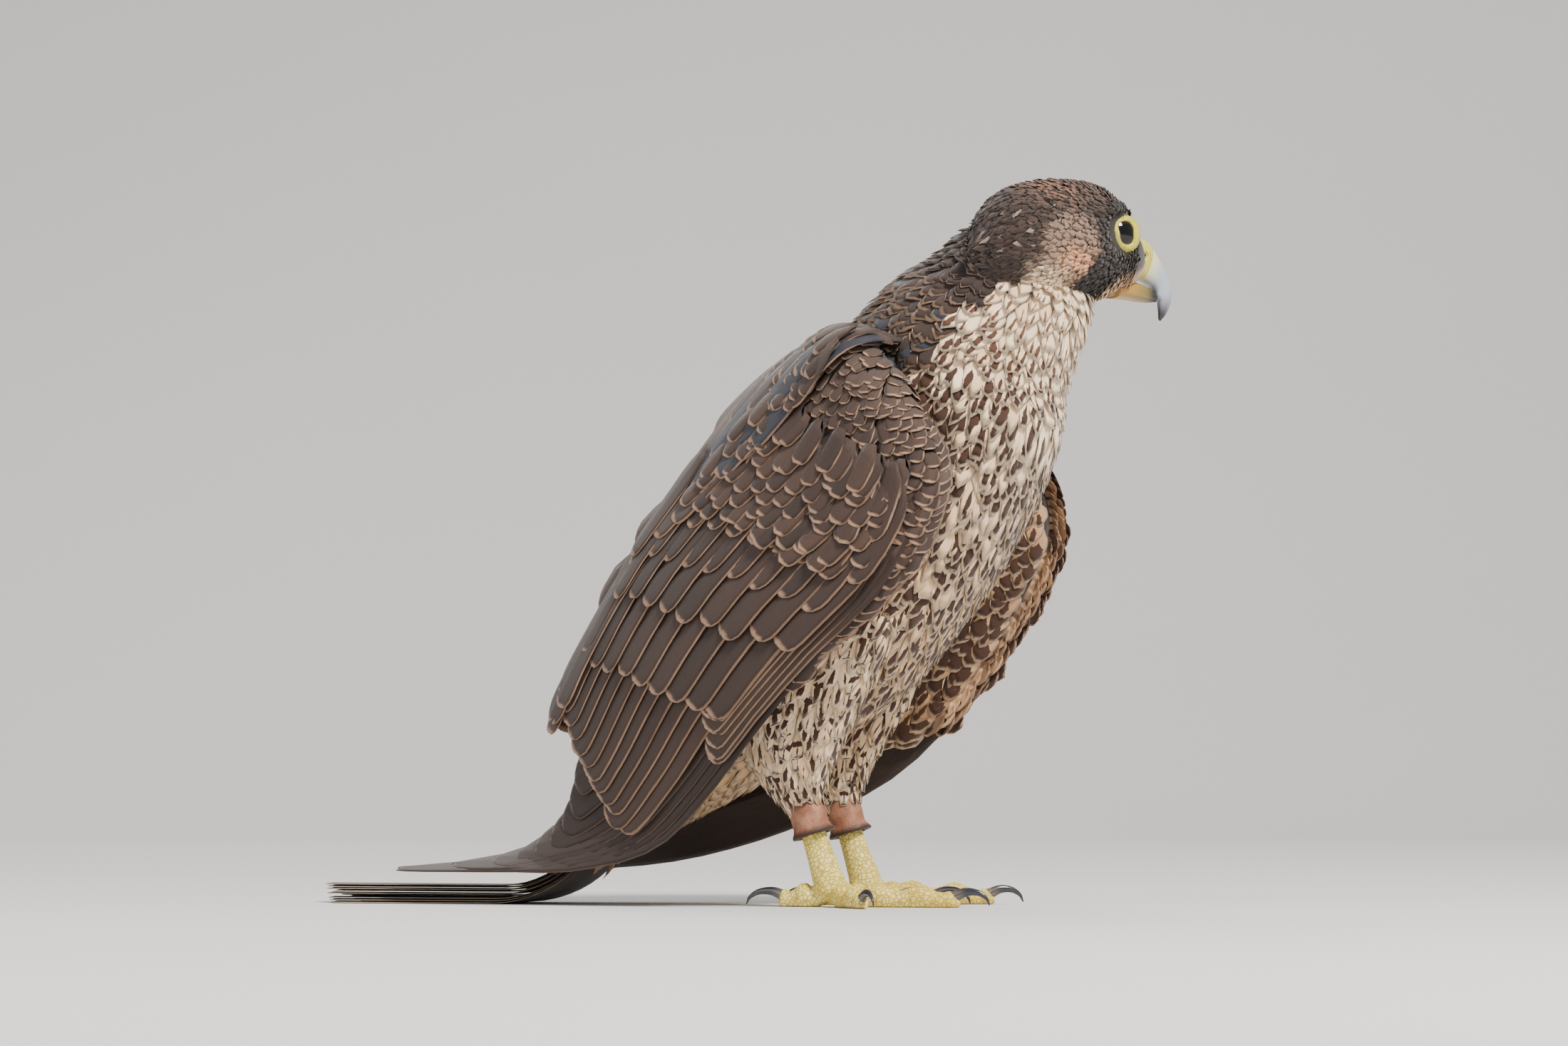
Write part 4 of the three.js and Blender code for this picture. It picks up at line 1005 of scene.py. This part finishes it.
def lower_horn_look():
    look = Look("lower_bill_horn", 0.32, coat=0.2, subsurface=0.05)
    along = look.parts("place")[0]
    colour = look.mix(look.ramp(along, 0.1, 0.6), screen(0.66, 0.50, 0.22), screen(0.47, 0.42, 0.24))
    colour = look.mix(look.ramp(along, 0.5, 0.85), colour, screen(0.16, 0.14, 0.13))
    return look.finish(colour, look.noise(look.position(), 700.0), 0.0001, 0.2)


def claw_look():
    look = Look("claw_horn", 0.24, coat=0.4)
    along, turn, _ = look.parts("place")
    grain = look.noise((along * 4.0, turn * 16.0, 0.0), 1.0)
    colour = look.mix(look.ramp(along, 0.0, 0.3), screen(0.42, 0.38, 0.33), screen(0.15, 0.15, 0.17))
    colour = look.mix(look.ramp(grain, 0.4, 0.75), colour, screen(0.22, 0.22, 0.25))
    return look.finish(colour, grain, 0.00012, 0.3)


def eye_look():
    """Black pupil, dark brown iris with fine rays and a darker rim."""
    look = Look("eye_surface", 0.04, coat=0.35, specular=0.3)
    off_middle, turn, _ = look.parts("place")
    fibres = look.noise((turn * 26.0, off_middle * 2.0, 0.0), 1.0)
    iris = look.mix(fibres, screen(0.09, 0.05, 0.035), screen(0.19, 0.11, 0.07))
    colour = look.mix(look.ramp(off_middle, 0.42, 0.46), screen(0.012, 0.012, 0.016), iris)
    colour = look.mix(look.ramp(off_middle, 0.68, 0.76), colour, screen(0.05, 0.04, 0.04))
    return look.finish(colour, fibres, 0.00004, 0.15)


def leather_look():
    """Worn brown leather, darker at the lower rim."""
    look = Look("anklet_leather", 0.55, sheen=0.05, specular=0.4)
    place = look.position()
    wear = look.noise(place, 160.0)
    colour = look.mix(look.ramp(wear, 0.35, 0.7), screen(0.52, 0.33, 0.24), screen(0.68, 0.48, 0.37))
    colour = look.mix(look.ramp(look.parts("place")[0], 0.26, 0.04), colour, screen(0.22, 0.13, 0.10))
    return look.finish(colour, look.ramp(look.cells(place, 900.0), 0.0, 0.2) + wear, 0.0002, 0.5)


# Painted shade: two dark browns that stand in for the shade inside the nostril openings
def nostril_shade_look():
    look = Look("nostril_painted_shade", 0.8)
    return look.finish(look.mix(look.noise(look.position(), 800.0), screen(0.10, 0.07, 0.04),
                                screen(0.20, 0.15, 0.07)))


body_feather = plumage("body_feather", 0.82, 0.25)
flight_feather = plumage("flight_feather", 0.6, 0.12)
yellow = bare_skin("yellow_skin", screen(0.93, 0.86, 0.50), screen(0.86, 0.74, 0.30), 560.0)
cere_skin = bare_skin("cere_skin", screen(0.92, 0.88, 0.42), screen(0.80, 0.76, 0.30), 1500.0, 0.42)
lid_skin = bare_skin("lid_skin", screen(0.90, 0.86, 0.36), screen(0.78, 0.74, 0.26), 1600.0, 0.45)


# Skin: one body under all the feathers, remeshed so that no seam shows
def remeshed(name, solids, making, material):
    cell, rounds = making
    bases = np.cumsum([0] + [len(points) for points, _ in solids])
    faces = np.vstack([part + base for (_, part), base in zip(solids, bases)])
    piece = new_object(name, np.vstack([points for points, _ in solids]), faces, material)
    remesh = piece.modifiers.new("remesh", "REMESH")
    remesh.mode = "VOXEL"
    remesh.voxel_size = cell / 1000
    remesh.use_smooth_shade = True
    soften = piece.modifiers.new("soften", "SMOOTH")
    soften.iterations = rounds
    soften.factor = 0.5
    view = piece.evaluated_get(bpy.context.evaluated_depsgraph_get())
    mesh = bpy.data.meshes.new_from_object(view)
    piece.modifiers.clear()
    piece.data = mesh
    return piece


def body_solid(place, depth, count):
    """A closed solid of a place on the body, set in by the depth of its coat."""
    a, b = np.meshgrid(np.linspace(0, 1, count[0]), round_turns(count[1]), indexing="ij")
    return loft(place(a, b, COAT_DEPTH[depth]))


def arm_solid(name):
    """The flesh of the wing's arm, between its outer and inner face."""
    outer, inner = (arm_face(wings[name], side, COAT_DEPTH["arm"]) for side in (False, True))
    a, b = np.meshgrid(np.linspace(0.35, 4.8, 30), np.linspace(0.04, 0.96, 16), indexing="ij")
    return loft(np.concatenate([outer(a, b), inner(a, b)[:, ::-1]], 1))


flesh = [body_solid(trunk_place, "trunk", (40, 48)), body_solid(skull_place, "head", (60, 64))]
flesh += [body_solid(thigh_place(side), "thigh", (24, 32)) for side in SIDES.values()]
flesh += [arm_solid(name) for name in SIDES]

body_coat = Coat("body_feathers", "body_feather")
head_coat = Coat("head_feathers", "body_feather")
leg_coat = Coat("leg_feathers", "body_feather")
roots = [dress_trunk(body_coat), dress_head(head_coat)]
roots += [dress_thigh(leg_coat, name) for name in SIDES]
dress_vent(body_coat)
for name in SIDES:
    wing_coat = Coat(f"wing_feathers_{name}", "flight_feather")
    roots.append(dress_wing(wing_coat, name))
    lining_coat = Coat(f"wing_lining_{name}", "body_feather")
    dress_lining(lining_coat, name)
    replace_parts(wing_coat.finish(flight_feather)[0], f"wing_{name}")
    lining_coat.finish(body_feather)
tail_coat = Coat("tail_feathers", "flight_feather")
dress_tail(tail_coat)
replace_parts(tail_coat.finish(flight_feather)[0], "tail")
for coat in (body_coat, head_coat, leg_coat):
    coat.finish(body_feather)

# The skin takes at each place the colour of the feather that roots nearest to it, a little darker
skin = remeshed("skin", flesh, SKIN_MAKING, skin_look())
root_points = np.vstack([points for points, _ in roots])
root_colours = linear(np.vstack([colours for _, colours in roots]))
tree = kdtree.KDTree(len(root_points))
for index, root_point in enumerate((root_points + SHIFT) / 1000):
    tree.insert(root_point, index)
tree.balance()
skin_ground = skin.data.attributes.new("ground", "FLOAT_VECTOR", "POINT")
nearest = [tree.find(vertex.co)[1] for vertex in skin.data.vertices]
skin_ground.data.foreach_set("vector", (root_colours[nearest] * SKIN_SHADE).astype(np.float32).ravel())
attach(skin, "root")
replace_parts(skin, "torso", "neck", "head", "thigh_right", "thigh_left")


def add_loft(name, rings, material, replaced=()):
    """A closed lofted piece, with its share along and round it kept for its material."""
    points, faces = loft(rings)
    count, sides = rings.shape[:2]
    shares = np.repeat(np.linspace(0, 1, count), sides)
    turns = np.tile(np.arange(sides) / sides, count)
    values = np.stack([np.append(shares, [0, 1]), np.append(turns, [0, 0]), np.zeros(len(points))], -1)
    piece = new_object(name, points, faces, material, attributes={"place": values})
    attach(piece, "root")
    if replaced:
        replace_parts(piece, *replaced)
    return piece


# Bill
def upper_bill_rings(shares, sides=40):
    """Rings of the upper bill, with the falcon's tooth and notch in its edge."""
    rows = spline(UPPER_BILL)(shares)
    ridge, edge = rows[:, 0:2], rows[:, 2:4]
    turn = round_turns(sides)
    round_high = 0.5 + 0.5 * np.cos(turn)
    high = np.where(round_high > 0.08, round_high, 0.08 - 0.06 * (0.08 - round_high) / 0.08)
    wide = np.sign(np.sin(turn)) * np.abs(np.sin(turn)) ** 0.62
    tooth = 0.055 * hill((shares, 0.66, 0.035)) - 0.05 * hill((shares, 0.74, 0.03))
    high = high - tooth[:, None] * (high < 0.3)
    spot = edge[:, None] + (ridge - edge)[:, None] * high[..., None]
    return head_point(spot[..., 0], wide[None] * rows[:, 4:5], spot[..., 1])


horn_rings = upper_bill_rings(np.linspace(CERE_SHARE, 1, 70))
add_loft("bill_upper_horn", horn_rings, horn_look(), ["bill_upper"])


def cere_rings():
    """The soft cere, a little swollen over the horn, with a dip for each nostril."""
    shares = np.linspace(-0.06, CERE_SHARE + 0.02, 48)
    rings = upper_bill_rings(shares, 72)
    centre = rings.mean(1, keepdims=True)
    swell = 1.035 + 0.05 * np.sin(np.pi * np.linspace(0, 1, 48)) ** 0.7
    rings = centre + (rings - centre) * swell[:, None, None]
    forward, side, up = head_local(rings)
    away = np.hypot(forward - NOSTRIL["forward"], up - NOSTRIL["up"])
    dip = 0.55 * hill((away, 2.1, 0.7)) - 1.5 * hill((away, 0, 1.15))
    return rings + ASIDE * (np.sign(side) * dip * (np.abs(side) > 2))[..., None]


add_loft("cere", cere_rings(), cere_skin, ["cere"])


def lower_bill_rings():
    rows = spline(LOWER_BILL)(np.linspace(0, 1, 40))
    turn = round_turns(32)
    high = 0.5 + 0.5 * np.sign(np.cos(turn)) * np.abs(np.cos(turn)) ** 0.7
    wide = np.sign(np.sin(turn)) * np.abs(np.sin(turn)) ** 0.8
    up = rows[:, 2:3] + (rows[:, 1:2] - rows[:, 2:3]) * high[None]
    return head_point(rows[:, 0:1] + 0 * up, wide[None] * rows[:, 3:4], up)


add_loft("bill_lower_horn", lower_bill_rings(), lower_horn_look(), ["bill_lower"])


def ball(centre, radii, axes, count=(20, 28)):
    """An ellipsoid as rings of points. axes are its three directions."""
    polar = np.linspace(0.001, math.pi - 0.001, count[0])
    p, t = np.meshgrid(polar, round_turns(count[1]), indexing="ij")
    offsets = (np.cos(p), np.sin(p) * np.cos(t), np.sin(p) * np.sin(t))
    return centre + sum((o * r)[..., None] * axis for o, r, axis in zip(offsets, radii, axes))


# Nostrils: small dark balls in the cere's dips, painted shade of the nostril openings
nostril_painted_shade = nostril_shade_look()
for side_name, side in SIDES.items():
    middle = head_point(NOSTRIL["forward"], -side * NOSTRIL["side"], NOSTRIL["up"])
    shade_ball = ball(middle, NOSTRIL["radii"], (ASIDE, AHEAD, UP))
    add_loft(f"nostril_{side_name}", shade_ball, nostril_painted_shade)


def eye_axes(side):
    """Middle of an eye, the way it looks, forward over it and up over it."""
    centre = head_point(EYE["forward"], -side * EYE["side"], EYE["up"])
    look = -side * ASIDE * math.cos(EYE["look"]) + AHEAD * math.sin(EYE["look"])
    across = unit(np.cross(UP, look))
    across = across * math.copysign(1, across @ AHEAD)
    up = unit(np.cross(look, across))
    return centre, look, across, up * math.copysign(1, up @ UP)


def lid_sections(centre, look, across, up):
    """The bare ring hugs the eyeball and is widest in front and below."""
    turn = round_turns(72)
    front = 0.5 + 0.5 * np.cos(turn + 0.5)
    corner = hill((turn, 5.35, 0.45)) + hill((turn, 2.5, 0.5))
    inner = 0.47 + 0.10 * corner - 0.08 * np.cos(2 * turn)
    outer = inner + 0.2 + 0.5 * front**1.2 + 0.3 * hill((turn, 2.6, 0.4))
    sections = []
    for share, radius in LID_PROFILE:
        angle = inner + (outer - inner) * share
        wrinkle = 0.16 * np.sin(turn * 26 + share * 5) * (0.1 < share < 0.9)
        reach = radius + wrinkle + 0.7 * front * (0 < share < 1)
        sections.append(centre + look * (np.cos(angle) * reach)[:, None]
                        + across * (np.sin(angle) * np.cos(turn) * reach)[:, None]
                        + up * (np.sin(angle) * np.sin(turn) * reach)[:, None])
    return np.stack(sections, 1)


# Eyes, which keep the angle off their middle and the turn round it for their look, and lids
eye_surface = eye_look()
for side_name, side in SIDES.items():
    centre, look_way, across_eye, up_eye = eye_axes(side)
    rings = ball(centre, (EYE["radius"],) * 3, (look_way, across_eye, up_eye), (64, 64))
    eye_piece = add_loft(f"eyeball_{side_name}", rings, eye_surface, [f"eye_{side_name}"])
    offsets = loft(rings)[0] - centre
    off_middle = np.arccos(np.clip(unit(offsets) @ look_way, -1, 1))
    turn_round = np.arctan2(offsets @ up_eye, offsets @ across_eye)
    values = np.stack([off_middle, turn_round, 0 * off_middle], -1)
    eye_piece.data.attributes["place"].data.foreach_set("vector", values.astype(np.float32).ravel())
    points, faces = hoop(lid_sections(centre, look_way, across_eye, up_eye), centre)
    lid = new_object(f"lid_{side_name}", points, faces, lid_skin)
    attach(lid, "root")


# Feet: shank and toes grown together, with scutes over the toes and pads under them
def toe_axes(side, toe_name):
    """The foot's middle on the ground, the way a toe points and the way across it."""
    heading = math.radians(FOOT_HEADING["right" if side < 0 else "left"] - side * TOES[toe_name][0])
    ahead = np.array([math.cos(heading), math.sin(heading), 0])
    return np.array([SHANK[4][0], side * FOOT_SIDE, 0]), ahead, np.array([-ahead[1], ahead[0], 0])


def toe_rings(side, toe_name):
    _, length, thick, _ = TOES[toe_name]
    root, ahead, over = toe_axes(side, toe_name)
    share = np.linspace(-0.06, 1, 90)[:, None]
    turn = round_turns(28)[None]
    pads = 3 if length > 30 else 2
    swell = 1 + 0.16 * np.cos(share * pads * TURN - 0.4)
    end = np.sqrt(np.clip((1 - share) / 0.08, 0.2, 1))
    radius = thick * swell * (1.12 + (0.86 - 1.12) * np.clip(share, 0, 1)) * end
    scutes = 1 + 0.12 * np.abs(np.sin(np.pi * share * length / 2.9)) ** 0.6 * smooth(np.sin(turn), 0.1, 0.6)
    warts = 1 + 0.05 * np.sin(share * length * 3.4) * np.sin(turn * 7) * smooth(-np.sin(turn), 0.0, 0.4)
    middle_z = radius - 0.45 + np.maximum(0, 1 - share * 3.2) * 2.2
    r = radius * scutes * warts
    points = root + ahead * (share * length)[..., None] + over * (r * 0.94 * np.cos(turn))[..., None]
    points[..., 2] = np.maximum(middle_z + r * np.sin(turn), 0.05)
    return points


def claw_rings(side, toe_name):
    """A claw bent down along a path given in shares of its reach and millimetres of height."""
    _, length, _, claw = TOES[toe_name]
    root, ahead, over = toe_axes(side, toe_name)
    path = spline([(0, 4.2), (0.32, 6.2), (0.66, 6), (0.9, 3.9), (1, 1)])
    share = np.linspace(0, 1, 34)
    reach = claw * 0.8
    spots = path(share)
    slopes = path(share + 0.03) - path(share - 0.03)
    radius = 2.5 + (0.28 - 2.5) * share**0.85
    ups = unit(ahead * -slopes[:, 1:2] + UP * (slopes[:, 0:1] * reach))
    middle = root + ahead * (length - 2.5) + ahead * (spots[:, 0:1] * reach) + UP * spots[:, 1:2]
    turn = round_turns(18)
    return (middle[:, None] + over * (0.78 * radius[:, None] * np.cos(turn))[..., None]
            + ups[:, None] * (radius[:, None] * np.sin(turn))[..., None])


def shank_rings(side):
    rows = spline([(x, side * FOOT_SIDE, z, across, fore) for x, z, across, fore in SHANK])
    x, y, z, across, fore = rows(np.linspace(0, 1, 60)).T[..., None]
    turn = round_turns(40)
    bumps = 1 + 0.03 * np.sin(np.arange(60) * 1.3)[:, None] * smooth(np.cos(turn), 0, 0.6)[None]
    return np.stack([x + fore * bumps * np.cos(turn), y + across * np.sin(turn), z + 0 * turn], -1)


def anklet_band(side):
    """Points and triangles of a wrapped leather band with a flared lower rim, and its heights, 0 to 1."""
    low, high = (np.array([np.interp(z, [24, 52], [-4, -13]), side * FOOT_SIDE, z])
                 for z in (ANKLET["low"], ANKLET["high"]))
    axis = unit(high - low)
    fore = unit(np.cross(np.array([0.0, 1.0, 0.0]), axis))
    aside = np.cross(axis, fore)
    height = float(np.linalg.norm(high - low))
    inside, outside = ANKLET["inside"], ANKLET["inside"] + ANKLET["wall"]
    half, rim = inside + ANKLET["wall"] / 2, outside + ANKLET["flare"]
    outline = [(inside, 0.0), (half, -0.25), (rim, 0.15), (rim, 0.9), (outside + 0.7, 2.2), (outside, 4.0),
               (outside + 0.15, 8.0), (outside, height - 0.5), (half, height), (inside, height - 0.2)]
    wrap = round_turns(72)
    overlap = 0.35 * smooth(np.sin(wrap - 0.6), 0.55, 0.62)
    sections = []
    for radius, up in outline:
        wavy = radius + overlap * (radius > inside) + 0.12 * np.sin(wrap * 3 + up)
        sections.append(low + axis * up + fore * (wavy * np.cos(wrap))[:, None]
                        + aside * (wavy * np.sin(wrap))[:, None])
    points, faces = hoop(np.stack(sections, 1), low)
    return points, faces, (points - low) @ axis / height


claw_surface = claw_look()
leather = leather_look()
for side_name, side in SIDES.items():
    foot_solids = [loft(shank_rings(side)), *[loft(toe_rings(side, toe)) for toe in TOES]]
    foot = remeshed(f"foot_{side_name}", foot_solids, FOOT_MAKING, yellow)
    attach(foot, "root")
    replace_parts(foot, f"shank_{side_name}", *[f"toe_{side_name}_{toe}" for toe in TOES])
    for toe in TOES:
        add_loft(f"claw_horn_{side_name}_{toe}", claw_rings(side, toe), claw_surface,
                 [f"claw_{side_name}_{toe}"])
    points, faces, heights = anklet_band(side)
    stored = np.stack([heights, heights * 0, heights * 0], -1)
    cuff = new_object(f"anklet_band_{side_name}", points, faces, leather, attributes={"place": stored})
    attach(cuff, "root")
    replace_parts(cuff, f"anklet_{side_name}")


# Floor and backdrop in one pale sweep
def sweep():
    start, end, bend, rise, half_width = SWEEP
    profile = [(start + (end - start) * s, 0.0) for s in np.linspace(0, 1, 40)]
    profile += [(end + bend * math.sin(t), bend * (1 - math.cos(t)))
                for t in np.linspace(0.05, math.pi / 2, 24)]
    profile += [(end + bend, bend + rise * s) for s in np.linspace(0.1, 1, 8)]
    back = np.array([-math.sin(CAMERA_TURN), math.cos(CAMERA_TURN), 0])
    aside = np.array([math.cos(CAMERA_TURN), math.sin(CAMERA_TURN), 0])
    depth, height = np.array(profile).T
    wide = np.linspace(-half_width, half_width, 12)
    points = (back * depth[:, None, None] + aside * wide[None, :, None] + UP * height[:, None, None])
    index_grid = np.arange(len(depth) * len(wide)).reshape(len(depth), len(wide))
    a, b, c, d = index_grid[:-1, :-1], index_grid[1:, :-1], index_grid[1:, 1:], index_grid[:-1, 1:]
    faces = np.stack([v.ravel() for v in (a, d, c, b)], 1)
    look = Look("backdrop", 0.9, specular=0.2)
    material = look.finish(look.mix(look.noise(look.position(), 2.0), (0.66, 0.65, 0.64), (0.69, 0.68, 0.67)))
    floor = new_object("floor", points.reshape(-1, 3), faces, material)


# Camera at the photograph's angle: long lens, low and level with the bird's legs
aside, high = CAMERA_TARGET
target = np.array([aside * math.cos(CAMERA_TURN), aside * math.sin(CAMERA_TURN), high])
eye_point = target + CAMERA_DISTANCE * np.array([math.sin(CAMERA_TURN), -math.cos(CAMERA_TURN), 0])
eye_point[2] = CAMERA_HEIGHT
camera = add_object("camera", bpy.data.cameras.new("camera"))
camera.data.lens = CAMERA_LENS
camera.data.sensor_width = 36
camera.data.clip_end = 50
camera.location = Vector((eye_point + SHIFT) / 1000)
camera.rotation_euler = Vector((target - eye_point) / 1000).to_track_quat("-Z", "Y").to_euler()
bpy.context.scene.camera = camera
sweep()

for name, (place, size, power, colour) in LIGHTS.items():
    light = add_object(name, bpy.data.lights.new(name, "AREA"))
    light.data.size = size
    light.data.energy = power
    light.data.color = colour
    light.location = Vector(place)
    light.rotation_euler = (LIT_PLACE - Vector(place)).to_track_quat("-Z", "Y").to_euler()
world = bpy.data.worlds.new("studio")
bpy.context.scene.world = world
world.use_nodes = True
for key, value in STUDIO.items():
    world.node_tree.nodes["Background"].inputs[key].default_value = value
